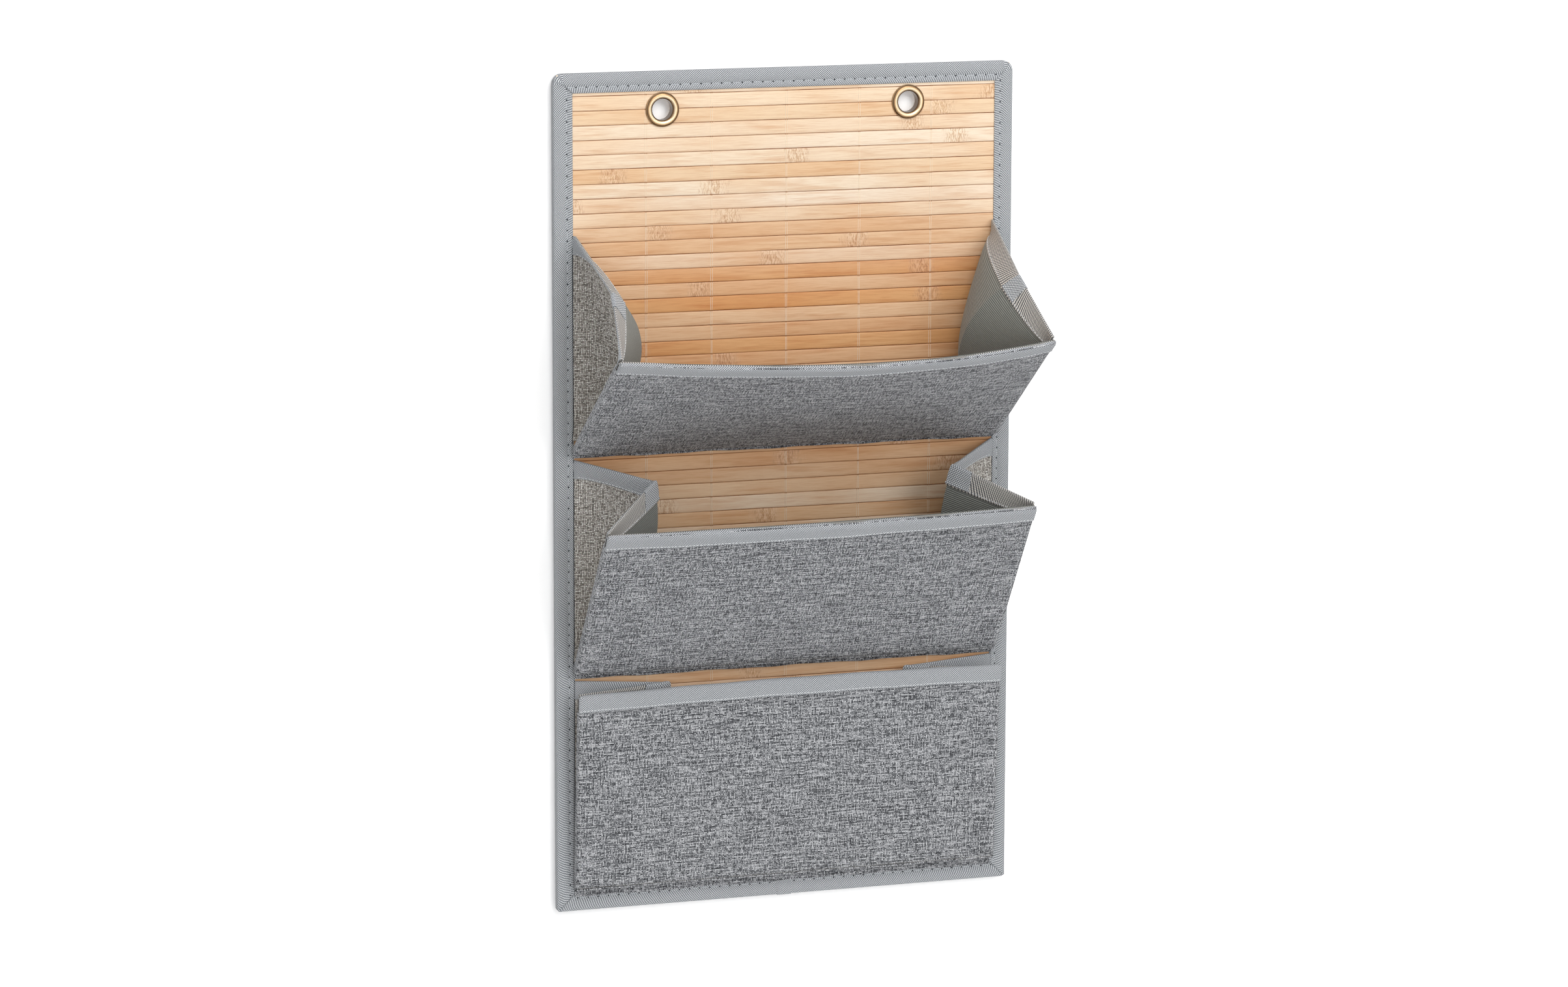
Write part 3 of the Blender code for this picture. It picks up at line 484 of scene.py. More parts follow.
brush = add(tree, "CombineXYZ", {0: bent_x.outputs[0], 1: shift.outputs[0], 2: axes.outputs[2]})
brush = add(tree, "Mapping", {"Vector": brush.outputs[0], "Scale": (1500, 1, 330)})
stroke = add(tree, "TexNoise", {"Vector": brush.outputs[0], "Scale": 1.0, "Detail": 2.0, "Roughness": 0.7})
stroke_tone = add(tree, "ValToRGB", {0: stroke.outputs[0]}, stops=(
    (0.38, "#B48350"), (0.47, "#E3C8A2"), (0.56, "#FFFFFF")))
halo_share = add(tree, "Math", {0: knot_near.outputs[0], 1: 0.14}, operation="MULTIPLY")
haloed = add(tree, "Mix", {0: halo_share.outputs[0], 6: stained.outputs[2], 7: linear("#FFF6E6")}, data_type="RGBA")
knot_share = add(tree, "Math", {0: knot_near.outputs[0], 1: 0.6}, operation="MULTIPLY")
fourth = add(tree, "Mix", {0: knot_share.outputs[0], 6: haloed.outputs[2], 7: stroke_tone.outputs[0]}, **multiply)
tree.links.new(fourth.outputs[2], shader.inputs["Base Color"])
rough = add(tree, "MapRange", {0: grain.outputs[0], 3: 0.52, 4: 0.7})
tree.links.new(rough.outputs[0], shader.inputs["Roughness"])
bump = add(tree, "Bump", {"Strength": 0.35, "Distance": 0.00012, "Height": grain.outputs[0]})
tree.links.new(bump.outputs[0], shader.inputs["Normal"])
shader.inputs["IOR"].default_value = 1.5

slat_mesh = closed_mesh("bamboo_slats", np.concatenate(slat_points), slat_quads, seed=np.concatenate(slat_seeds))
slats = link_piece("bamboo_slats", slat_mesh, bamboo)
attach(slats, "back_panel")
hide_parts("bamboo_mat")

# Scrim: the mat's backing, a thin brown cotton cloth glued behind the slats, seen only in the gaps.
scrim_cotton = make_mottled("brown_cotton_scrim", "#8A4F24", "#BF7A42", 0.95, 700.0)
scrim = link_piece("mat_scrim", panel_sheet("mat_scrim", SCRIM_BACK, SCRIM_THICKNESS, 0.02), scrim_cotton)
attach(scrim, "back_panel")

# Warp threads: pale cotton, a pair in each column, 0.35 mm thick.
THREAD_COLUMNS = (-0.1032, -0.0550, 0.0005, 0.0550, 0.1090)
THREAD_PAIR_OFFSET = 0.0011
THREAD_RADIUS = 0.00016
THREAD_SIDES = 5
steps_a_slat = 8
level = np.arange(MAT_LOW + 0.0002, MAT_HIGH - 0.0002, SLAT_PITCH / steps_a_slat)
phase = (level - SLAT_PHASE) / SLAT_PITCH
part = phase - np.floor(phase)
crown = 4 * part * (1 - part)
dip = np.clip(1 - np.minimum(part, 1 - part) * SLAT_PITCH / 0.0007, 0, 1)
thread_y = SLAT_FRONT + SLAT_CROWN * (1 - crown) - THREAD_RADIUS * 0.6 + 0.0004 * dip
turn = np.arange(THREAD_SIDES) * 2 * math.pi / THREAD_SIDES
thread_points, thread_faces, vertex = [], [], 0
for column in THREAD_COLUMNS:
    for side in (-1, 1):
        sway = 0.0002 * np.sin(level * 61 + column * 900 + side)
        ring = np.stack(
            [
                column + side * THREAD_PAIR_OFFSET / 2 + sway[:, None] + THREAD_RADIUS * np.cos(turn)[None, :],
                thread_y[:, None] + THREAD_RADIUS * np.sin(turn)[None, :],
                np.broadcast_to(level[:, None], (len(level), THREAD_SIDES)),
            ],
            -1,
        )
        thread_points.append(ring.reshape(-1, 3))
        thread_faces += slat_faces(len(level), THREAD_SIDES, vertex)
        vertex += len(level) * THREAD_SIDES

# The thread is pale where it lies on a slat, and painted darker brown where it dips into a gap: painted shade of the
# groove.
warp_cotton, tree, shader = new_finish("pale_cotton_thread")
place = add(tree, "TexCoord")
axes = add(tree, "SeparateXYZ", {0: place.outputs["Object"]})
phase = slat_phase(tree, axes.outputs[2])
tone = add(tree, "ValToRGB", {0: phase.outputs[0]}, stops=((0.42, "#F9E9D2"), (0.48, "#B67E4C")))
tree.links.new(tone.outputs[0], shader.inputs["Base Color"])
shader.inputs["Roughness"].default_value = 0.85
thread_mesh = closed_mesh("mat_threads", np.concatenate(thread_points), thread_faces)
mat_threads = link_piece("mat_threads", thread_mesh, warp_cotton)
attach(mat_threads, "back_panel")


# Edge binding: a pale grey Oxford weave polyester tape, folded over all four edges of the panel, mitred at the
# corners, lapped at the bottom middle and sewn through with grey thread in one row near its inner edge.

BINDING_WIDTH = 0.0138
BINDING_THICKNESS = 0.0006
BINDING_BACK = 0.0003
BINDING_FRONT = 0.0056
BINDING_BEND = 0.0014
BINDING_STITCH_INSET = 0.0096
BOTTOM_CORNER_RADIUS = 0.0025
LEAST_CORNER_RADIUS = 0.0004
LAP_LENGTH = 0.0105
LAP_THICKNESS = 0.0005


OUTLINE_STEP = 0.004
CORNER_STEPS = 8


def outline_points(inset, step=OUTLINE_STEP, corner_steps=CORNER_STEPS):
    """The panel's outline drawn in by the inset, from the bottom middle round by the right: straight runs in equal
    steps and quarter circles at the corners. The count of points is the same at every inset."""
    side = PANEL_WIDTH / 2 - inset
    top, bottom = PANEL_TOP - inset, PANEL_BOTTOM + inset
    upper = max(TOP_CORNER_RADIUS - inset, LEAST_CORNER_RADIUS)
    lower = max(BOTTOM_CORNER_RADIUS - inset, LEAST_CORNER_RADIUS)
    along = int(round(PANEL_WIDTH / 2 / step))
    tall = int(round((PANEL_TOP - PANEL_BOTTOM) / step))

    def run(a, b, count):
        share = np.linspace(0, 1, count, endpoint=False)[:, None]
        return np.array(a) * (1 - share) + np.array(b) * share

    def quarter(centre, radius, start):
        angle = start + np.linspace(0, math.pi / 2, corner_steps, endpoint=False)
        return np.stack([centre[0] + radius * np.cos(angle), centre[1] + radius * np.sin(angle)], -1)

    return np.concatenate([
        run((0, bottom), (side - lower, bottom), along),
        quarter((side - lower, bottom + lower), lower, -math.pi / 2),
        run((side, bottom + lower), (side, top - upper), tall),
        quarter((side - upper, top - upper), upper, 0.0),
        run((side - upper, top), (upper - side, top), 2 * along),
        quarter((upper - side, top - upper), upper, math.pi / 2),
        run((-side, top - upper), (-side, bottom + lower), tall),
        quarter((lower - side, bottom + lower), lower, math.pi),
        run((lower - side, bottom), (0, bottom), along),
    ])


# The stations in the middle of the four corners
straight = int(round(PANEL_WIDTH / 2 / OUTLINE_STEP))
tall = int(round((PANEL_TOP - PANEL_BOTTOM) / OUTLINE_STEP))
mid_corner = np.array([0.5, 1.5, 2.5, 3.5]) * CORNER_STEPS
MITRE_STATIONS = np.array([straight, straight + tall, 3 * straight + tall, 3 * straight + 2 * tall]) + mid_corner
MITRE_RIDGE = 0.0005
MITRE_GROOVE = 0.0008


def run_along(line):
    """The length of a line up to each of its points."""
    return np.concatenate([[0], np.cumsum(np.linalg.norm(np.diff(line, axis=0), axis=1))])


def stacked(*parts):
    """Coordinates, or places in the weave, from parts that are broadcast to one shape."""
    return np.stack(np.broadcast_arrays(*parts), -1)


def binding_profile(extra):
    """The folded tape's section as inset, depth behind the front of the wall and distance across the tape: out of
    the inner edge at the back, round the panel's edge and back along the front, then inside again. The front dips
    where the stitches pull it in. Extra thickens it outside, as at the lap."""
    front, back = -BINDING_FRONT - extra, BINDING_BACK + BINDING_THICKNESS + extra
    radius = BINDING_BEND
    angle = np.linspace(0, math.pi / 2, 5)
    inset = np.concatenate([
        [BINDING_WIDTH, BINDING_WIDTH - 0.0004, 0.0114, BINDING_STITCH_INSET, 0.0078, 0.0045],
        radius - extra - radius * np.sin(angle),
        radius - extra - radius * np.cos(angle),
        [0.0045, 0.0078, BINDING_STITCH_INSET, 0.0106, 0.0122, BINDING_WIDTH - 0.0003, BINDING_WIDTH],
    ])
    outer_depth = np.concatenate([
        np.full(6, back),
        back - radius + radius * np.cos(angle),
        front + radius - radius * np.sin(angle),
        front + np.array([-0.0006, -0.00035, 0.0004, -0.0002, -0.0003, 0.0, 0.0003]),
    ])
    inner_inset = np.array([BINDING_WIDTH, 0.006, BINDING_THICKNESS, BINDING_THICKNESS, 0.006, BINDING_WIDTH])
    inner_depth = np.array([-0.0050, -0.0050, -0.0050, BINDING_BACK, BINDING_BACK, BINDING_BACK])
    inset = np.concatenate([inset, inner_inset])
    depth = np.concatenate([outer_depth, inner_depth])
    return inset, depth, run_along(stacked(inset, depth))


def sweep_binding(stations, extra):
    """Carries the folded section round the outline: at each station the point at each inset of the section."""
    inset, depth, length = binding_profile(extra)
    outlines = np.stack([outline_points(i)[stations] for i in inset], axis=1)
    middle = outline_points(0.006)
    run = run_along(middle)[stations]
    # Sewn tape puckers a little between the stitches
    pucker = 0.00013 * np.sin(run * 2 * math.pi / 0.0231)[:, None] * (np.abs(inset - 0.0042) < 0.0038)
    # At each corner the front of the tape is folded on the slant, which shows as a ridge beside a groove
    mitre = np.zeros(len(run))
    for corner in MITRE_STATIONS:
        mitre += MITRE_RIDGE * np.exp(-((stations - corner) ** 2) / 2.0)
        mitre -= MITRE_GROOVE * np.exp(-((stations - corner - 2) ** 2) / 3.0)
    on_front = (depth < BINDING_BACK - 0.003) & (np.arange(len(depth)) < len(depth) - 6)
    pucker = pucker - mitre[:, None] * on_front
    return stacked(outlines[..., 0], depth - pucker, outlines[..., 1]), stacked(run[:, None], length[None, :], 0.0)


def ring_faces(rows, around, closed):
    """Quads between each ring and the next. Open ends are capped by quads between the two sides of the ring."""
    index = np.arange(rows * around).reshape(rows, around)
    ahead = np.roll(index, -1, axis=1)
    following = np.roll(index, -1, axis=0) if closed else index[1:]
    start = index if closed else index[:-1]
    start_ahead = ahead if closed else ahead[:-1]
    following_ahead = np.roll(following, -1, axis=1)
    faces = np.stack([start, start_ahead, following_ahead, following], -1).reshape(-1, 4).tolist()
    if not closed:
        for row in (index[0], index[-1]):
            j = np.arange(around // 2 - 1)
            faces += np.stack([row[j], row[j + 1], row[around - 2 - j], row[around - 1 - j]], -1).tolist()
    return faces


def ring_mesh(name, rings, weave, closed=False):
    """The surface through rows of rings, with the place of each point in the weave."""
    faces = ring_faces(rings.shape[0], rings.shape[1], closed)
    return closed_mesh(name, rings.reshape(-1, 3), faces, weave.reshape(-1, 3))


def wavering(tree, place, turns, detail, reach):
    """The place moved a little by a slow noise, as threads waver in a cloth."""
    wander = add(tree, "TexNoise", {"Vector": place, "Scale": turns, "Detail": detail})
    centred = add(tree, "VectorMath", {0: wander.outputs["Color"], 1: (0.5, 0.5, 0.5)}, operation="SUBTRACT")
    small = add(tree, "VectorMath", {0: centred.outputs[0], "Scale": reach}, operation="SCALE")
    return add(tree, "VectorMath", {0: place, 1: small.outputs[0]}, operation="ADD")


def make_oxford_weave(name, pale, mid, deep, rib):
    """Oxford weave: thick pale threads over darker ones, so pale dots stand in staggered rows. The woven cell is the
    product of two sines, one along and one across the tape, and threads waver and fade a little. The tape's inner
    face, which the third part of weave marks, shows ribs across the tape instead, and is darkened by the colour rib as
    painted shade."""
    finish, tree, shader = new_finish(name)
    weave = add(tree, "Attribute", attribute_name="weave")
    moved = wavering(tree, weave.outputs["Vector"], 160.0, 1.0, 0.0006)
    axes, along, across, dots = woven_cell(tree, moved.outputs[0], OXFORD_WARP, OXFORD_WEFT)
    wave = add(tree, "Math", {0: across.outputs[0], 1: 0.35, 2: along.outputs[0]}, operation="MULTIPLY_ADD")
    inner = add(tree, "MapRange", {0: axes.outputs[2], 1: 0.3, 2: 0.7})
    cell = add(tree, "Mix", {0: inner.outputs[0], 2: dots.outputs[0], 3: wave.outputs[0]}, data_type="FLOAT")
    fibre = add(tree, "TexNoise", {"Vector": weave.outputs["Vector"], "Scale": 1900.0, "Detail": 2.0})
    tone = add(tree, "MapRange", {0: cell.outputs[0], 1: -0.8, 2: 0.8})
    mixed = add(tree, "Math", {0: fibre.outputs[0], 1: 0.7, 2: tone.outputs[0]}, operation="MULTIPLY_ADD")
    mixed = add(tree, "Math", {0: mixed.outputs[0], 1: 0.35}, operation="SUBTRACT")
    colour = add(tree, "ValToRGB", {0: mixed.outputs[0]}, stops=((0.1, deep), (0.5, mid), (0.85, pale)))
    # The inner face is multiplied towards the colour rib: painted shade.
    share = add(tree, "Math", {0: inner.outputs[0], 1: 0.8}, operation="MULTIPLY")
    inner_face_shaded = add(tree, "Mix", {0: share.outputs[0], 6: colour.outputs[0], 7: linear(rib)}, **multiply)
    height = add(tree, "Math", {0: cell.outputs[0]}, operation="ABSOLUTE")
    bump = add(tree, "Bump", {"Strength": 0.5, "Distance": 0.0003, "Height": height.outputs[0]})
    tree.links.new(inner_face_shaded.outputs[2], shader.inputs["Base Color"])
    tree.links.new(bump.outputs[0], shader.inputs["Normal"])
    shader.inputs["Roughness"].default_value = 0.8
    shader.inputs["Sheen Weight"].default_value = 0.1
    shader.inputs["Sheen Roughness"].default_value = 0.5
    return finish


# Polyester Oxford tape, dyed pale grey: its dots stand in rows 0.85 mm apart, and it shines softly.
OXFORD_WARP = 0.00085
OXFORD_WEFT = 0.0007
# The last colour darkens the tape's inner face: painted shade.
oxford_tape = make_oxford_weave("grey_oxford_polyester_tape", "#E6E8EA", "#93979C", "#5C6168", "#F0E6DA")

count = len(outline_points(0.0))
rings, weave = sweep_binding(np.arange(count), 0.0)
binding = link_piece("edge_binding_tape", ring_mesh("edge_binding_tape", rings, weave, True), oxford_tape)
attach(binding, "back_panel")
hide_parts("edge_binding")

# The tape's two ends are folded under and lapped at the bottom middle.
inset, depth, length = binding_profile(LAP_THICKNESS * 0.8)
outer = len(inset) - 6
lap_x = np.linspace(-LAP_LENGTH / 2, LAP_LENGTH / 2, 7)
under_inset, under_depth, under_length = binding_profile(-0.0001)
ring_inset = np.concatenate([inset[:outer], under_inset[:outer][::-1]])
ring_depth = np.concatenate([depth[:outer], under_depth[:outer][::-1]])
ring_length = np.concatenate([length[:outer], under_length[:outer][::-1]])
lap_rings = stacked(lap_x[:, None], ring_depth[None, :], PANEL_BOTTOM + ring_inset[None, :])
lap_weave = stacked(lap_x[:, None] + 0.0004, ring_length[None, :], 0.0)
lap = link_piece("binding_lap", ring_mesh("binding_lap", lap_rings, lap_weave), oxford_tape)
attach(lap, "back_panel")

# Stitches: grey polyester sewing thread, 7.6 mm from needle hole to needle hole, each a flat capsule that is pulled
# into the tape at both ends, where the needle left a dark hole.
STITCH_PITCH = 0.0076
STITCH_RADIUS = 0.00028
STITCH_SIDES = 6
STITCH_STEPS = 7
STITCH_COVER = 0.86
STITCH_SUNK = 0.0002
HOLE_COVER = 0.16
HOLE_RADIUS = 0.00065
HOLE_SUNK = 0.0005


def unit(vectors):
    return vectors / np.linalg.norm(vectors, axis=-1, keepdims=True)


def along_line(line, pitch):
    """Places at one pitch along a line of points, with the direction of the line at each."""
    run = run_along(line)
    marks = np.arange(pitch / 2, run[-1] - pitch / 4, pitch)
    places = np.stack([np.interp(marks, run, line[:, i]) for i in range(3)], -1)
    ahead = np.stack([np.interp(marks + pitch / 20, run, line[:, i]) for i in range(3)], -1)
    return places, unit(ahead - places)


def stitch_shapes(line, outward, pitch, cover, radius, sunk):
    """Capsules along a line: each covers a share of the pitch, is round in section, thins towards both ends and
    sinks there. Outward is the cloth's normal, one for all or one for each place."""
    places, direction = along_line(line, pitch)
    outward = np.asarray(outward, float)
    if outward.ndim == 2:
        nearest = np.linalg.norm(places[:, None] - line[None], axis=-1).argmin(axis=1)
        outward = unit(outward[nearest])
    outward = np.broadcast_to(outward, places.shape)
    beside = unit(np.cross(direction, outward))
    share = np.linspace(-1, 1, STITCH_STEPS)
    thin = np.sqrt(np.maximum(1 - share**2, 0.02))
    angle = np.arange(STITCH_SIDES) * 2 * math.pi / STITCH_SIDES
    reach = pitch * cover / 2
    lift = -sunk + radius * 0.9 * (1 - share**2)
    points = (
        places[:, None, None, :]
        + direction[:, None, None, :] * (share * reach)[None, :, None, None]
        + outward[:, None, None, :] * (lift[:, None] + radius * thin[:, None] * np.sin(angle))[None, :, :, None]
        + beside[:, None, None, :] * (radius * thin[:, None] * np.cos(angle))[None, :, :, None]
    )
    return points


def capsule_faces(count, steps, sides):
    """Quads round each capsule between its rings, and a cap at each end."""
    index = np.arange(steps * sides).reshape(steps, sides)
    ahead = np.roll(index, -1, axis=1)
    quads = np.stack([index[:-1], ahead[:-1], ahead[1:], index[1:]], -1).reshape(-1, 4)
    shifts = np.arange(count)[:, None, None] * steps * sides
    sides_round = (quads[None] + shifts).reshape(-1, 4).tolist()
    caps = np.stack([index[0], index[-1][::-1]])[None] + shifts
    return sides_round + caps.reshape(-1, sides).tolist()


def sew(name, lines, pitch, cover, radius, sunk, finish, body):
    """One object of stitches along some lines, each given as its points and its outward normal."""
    shapes = np.concatenate([stitch_shapes(line, outward, pitch, cover, radius, sunk) for line, outward in lines])
    faces = capsule_faces(len(shapes), STITCH_STEPS, STITCH_SIDES)
    piece = link_piece(name, closed_mesh(name, shapes.reshape(-1, 3), faces), finish)
    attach(piece, body)
    return piece


# Spun polyester thread, pale grey, with a fine twist.
grey_thread = make_mottled("grey_polyester_thread", "#A9AEB4", "#D5D8DB", 0.6, 1800.0)

# The needle holes: shaded thread deep in the tape.
hole_shade = make_mottled("shaded_thread_in_needle_hole", "#17181B", "#34373C", 0.9, 2500.0)

seam_flat = outline_points(BINDING_STITCH_INSET)
closed_seam = np.concatenate([seam_flat, seam_flat[:1]])
front_line = stacked(closed_seam[:, 0], -BINDING_FRONT + 0.00035, closed_seam[:, 1])
back_line = stacked(closed_seam[:, 0], BINDING_BACK + BINDING_THICKNESS, closed_seam[:, 1])
binding_seams = [(front_line, (0, -1, 0)), (back_line, (0, 1, 0))]
sew(
    "binding_stitches", binding_seams,
    STITCH_PITCH, STITCH_COVER, STITCH_RADIUS, STITCH_SUNK, grey_thread, "back_panel",
)
holes = []
for line, normal in binding_seams:
    run = run_along(line)
    start = np.stack([np.interp([STITCH_PITCH / 2], run, line[:, i]) for i in range(3)], -1)
    kept = line[run > STITCH_PITCH / 2]
    holes.append((np.concatenate([start, kept]), normal))
sew(
    "binding_needle_holes", holes,
    STITCH_PITCH, HOLE_COVER, HOLE_RADIUS, HOLE_SUNK, hole_shade, "back_panel",
)


# Eyelets: rolled brass with an aged finish, set through the panel, each with a washer at the back. Their solids have
# the real shape, so they stay and get the metal.

# Antique brass: brown lacquered metal, its tone set by the distance from the eyelet's middle. Inside the bore's edge it
# is painted dark as painted shade, and the rolled crest between the bore's edge and the flange's carries a painted
# highlight.
# The valley outside the crest is darker, partly the finish's own dark in its hollow and partly painted shade.
BORE_TONE_RADIUS = 0.0074
FLANGE_TONE_RADIUS = 0.0128
antique_brass, tree, shader = new_finish("antique_brass")
place = add(tree, "TexCoord")
rub = add(tree, "TexNoise", {"Vector": place.outputs["Object"], "Scale": 260.0, "Detail": 4.0})
axes = add(tree, "SeparateXYZ", {0: place.outputs["Object"]})
aside = add(tree, "Math", {0: axes.outputs[0]}, operation="ABSOLUTE")
aside = add(tree, "Math", {0: aside.outputs[0], 1: EYELET_SPACING / 2}, operation="SUBTRACT")
flat_place = add(tree, "CombineXYZ", {0: aside.outputs[0], 2: axes.outputs[2]})
radius = add(tree, "VectorMath", {0: flat_place.outputs[0]}, operation="LENGTH")
radius = add(tree, "Math", {0: rub.outputs[0], 1: 0.0006, 2: radius.outputs["Value"]}, operation="MULTIPLY_ADD")
ring_place = add(tree, "MapRange", {0: radius.outputs[0], 1: BORE_TONE_RADIUS, 2: FLANGE_TONE_RADIUS})
# From the bore outwards: painted shade, brass, the crest's painted highlight, brass, a valley that is partly painted
# shade, then the flange.
tone = add(tree, "ValToRGB", {0: ring_place.outputs[0]}, stops=(
    (0.0, "#3E2C1D"), (0.18, "#7D6247"), (0.42, "#E6CFAE"), (0.62, "#B0906B"), (0.80, "#5A4330"), (1.0, "#C7AB88")))
tree.links.new(tone.outputs[0], shader.inputs["Base Color"])
shader.inputs["Metallic"].default_value = 1.0
rough = add(tree, "MapRange", {0: rub.outputs[0], 3: 0.22, 4: 0.42})
tree.links.new(rough.outputs[0], shader.inputs["Roughness"])
for name in ("eyelet_left", "eyelet_right", "eyelet_washer_left", "eyelet_washer_right"):
    nodes[name].data.materials[0] = antique_brass


# Pocket cloths: a melange cloth of black, grey and white yarn for the fronts, the same cloth turned on its side for
# the gussets, a fine ribbed lining, and the Oxford tape over every rim.


def make_melange(name, tones, pit_tone, thread, fleck, streak_share):
    """Melange cloth in plain weave: every yarn is spun from dark and light fibre, so its tone runs in flecks along
    its own length. Lengthwise yarns show where the woven cell is positive, crosswise ones where it is negative, and
    the pits between them, where it is near nothing, are shaded."""
    finish, tree, shader = new_finish(name)
    weave = add(tree, "Attribute", attribute_name="weave")
    moved = wavering(tree, weave.outputs["Vector"], 90.0, 2.0, 0.0022)
    cell = woven_cell(tree, moved.outputs[0], thread, thread)[-1]
    # Flecks along the lengthwise yarns and along the crosswise ones, then slubs both ways
    noises = []
    for scale, settings in (
        ((1 / fleck, 1 / thread, 1), {"Detail": 1.5, "Roughness": 0.7}),
        ((1 / thread, 1 / fleck, 1), {"Detail": 1.5, "Roughness": 0.7}),
        ((40.0, 760.0, 1.0), {"Detail": 3.0}),
        ((760.0, 60.0, 1.0), {"Detail": 2.0}),
    ):
        drawn = add(tree, "Mapping", {"Vector": moved.outputs[0], "Scale": scale})
        noises.append(add(tree, "TexNoise", {"Vector": drawn.outputs[0], "Scale": 1.0, **settings}))
    first, second, slub, rise = noises
    side = add(tree, "MapRange", {0: cell.outputs[0], 1: -0.15, 2: 0.15})
    yarn = add(tree, "Mix", {0: side.outputs[0], 2: first.outputs[0], 3: second.outputs[0]}, data_type="FLOAT")
    spread = add(tree, "MapRange", {0: slub.outputs[0], 1: 0.3, 2: 0.7, 3: -streak_share, 4: streak_share})
    spread_up = add(tree, "MapRange", {0: rise.outputs[0], 1: 0.3, 2: 0.7, 3: -streak_share / 2, 4: streak_share / 2})
    total = add(tree, "Math", {0: yarn.outputs[0], 1: spread.outputs[0]}, operation="ADD")
    total = add(tree, "Math", {0: total.outputs[0], 1: spread_up.outputs[0]}, operation="ADD")
    colour = add(tree, "ValToRGB", {0: total.outputs[0]}, stops=tuple(zip((0.37, 0.49, 0.62), tones)))
    height = add(tree, "Math", {0: cell.outputs[0]}, operation="ABSOLUTE")
    pit = add(tree, "ValToRGB", {0: height.outputs[0]}, stops=((0.0, pit_tone), (0.42, "#FFFFFF")))
    final = add(tree, "Mix", {0: 1.0, 6: colour.outputs[0], 7: pit.outputs[0]}, **multiply)
    bump = add(tree, "Bump", {"Strength": 0.6, "Distance": 0.0003, "Height": height.outputs[0]})
    tree.links.new(final.outputs[2], shader.inputs["Base Color"])
    tree.links.new(bump.outputs[0], shader.inputs["Normal"])
    shader.inputs["Roughness"].default_value = 0.92
    shader.inputs["Sheen Weight"].default_value = 0.1
    return finish


# Polyester linen-look cloth: yarns 1 mm apart, flecks 4 mm long.
front_melange = make_melange("grey_melange_cloth", ("#414347", "#95979B", "#E2E3E6"), "#5E6063", 0.0010, 0.0042, 0.09)
# The gusset's cloth is coarser to the eye, with tan yarn among the grey.
gusset_tones = ("#827C76", "#CEC7BE", "#FFFDF8")
gusset_melange = make_melange("tan_grey_melange_cloth", gusset_tones, "#484442", 0.0012, 0.0040, 0.05)


def make_ribbed(name, pale, mid, deep, rib):
    """Ribbed lining: fine rounded ribs side by side, dark between them, each with short flecks along it."""
    finish, tree, shader = new_finish(name)
    weave = add(tree, "Attribute", attribute_name="weave")
    axes = add(tree, "SeparateXYZ", {0: weave.outputs["Vector"]})
    wave = add(tree, "Math", {0: axes.outputs[1], 1: 2 * math.pi / rib}, operation="MULTIPLY")
    wave = add(tree, "Math", {0: wave.outputs[0]}, operation="SINE")
    drawn = add(tree, "Mapping", {"Vector": weave.outputs["Vector"], "Scale": (260.0, 1100.0, 1.0)})
    fleck = add(tree, "TexNoise", {"Vector": drawn.outputs[0], "Scale": 1.0, "Detail": 2.0})
    tone = add(tree, "MapRange", {0: wave.outputs[0], 1: -1.0, 2: 1.0})
    mixed = add(tree, "Math", {0: fleck.outputs[0], 1: 0.6, 2: tone.outputs[0]}, operation="MULTIPLY_ADD")
    mixed = add(tree, "Math", {0: mixed.outputs[0], 1: 0.3}, operation="SUBTRACT")
    colour = add(tree, "ValToRGB", {0: mixed.outputs[0]}, stops=((0.1, deep), (0.5, mid), (0.9, pale)))
    bump = add(tree, "Bump", {"Strength": 0.5, "Distance": 0.0003, "Height": wave.outputs[0]})
    tree.links.new(colour.outputs[0], shader.inputs["Base Color"])
    tree.links.new(bump.outputs[0], shader.inputs["Normal"])
    shader.inputs["Roughness"].default_value = 0.8
    shader.inputs["Sheen Weight"].default_value = 0.15
    return finish


# Ribbed polyester lining, grey green, with 1.3 mm ribs.
ribbed_lining = make_ribbed("ribbed_grey_green_lining", "#9A9C97", "#7C7F7A", "#5E615D", 0.0013)

# Grey board: recycled paper board inside the fronts, never seen.
grey_board = make_mottled("recycled_grey_board", "#7C7A76", "#A5A29C", 0.9, 1200.0, 3.0)

POCKET_HALF = 0.1581
HINGE_Y = -0.0072
FRONT_HEIGHT = 0.1445
REAR_SEAM_HEIGHT = 0.151
CREASE_LENGTH = 0.144
CREASE_ANGLE = math.radians(26.6)
RIM_TAPE_WIDTH = 0.0125
GUSSET_TAPE_WIDTH = 0.0132
RIM_TAPE_THICKNESS = 0.0004
# How much further open the front stands than the board's own plane, in radians: at the left end, at the right end, and
# the bow between them
FRONT_LEANS = {"upper": (0.040, 0.029, 0.074), "middle": (0.020, -0.018, 0.014), "lower": (0.0, 0.0, 0.0)}
# How far each rim rises above the straight line between its ends, to the right of its middle
RIM_CROWN_PLACE = 0.05
RIM_CROWNS = {"upper": -0.0007, "middle": -0.0007, "lower": 0.0036}
POCKETS = (
    ("upper", -0.2375, math.radians(52.6)),
    ("middle", -0.3965, math.radians(35.5)),
    ("lower", -0.5555, math.radians(4.5)),
)


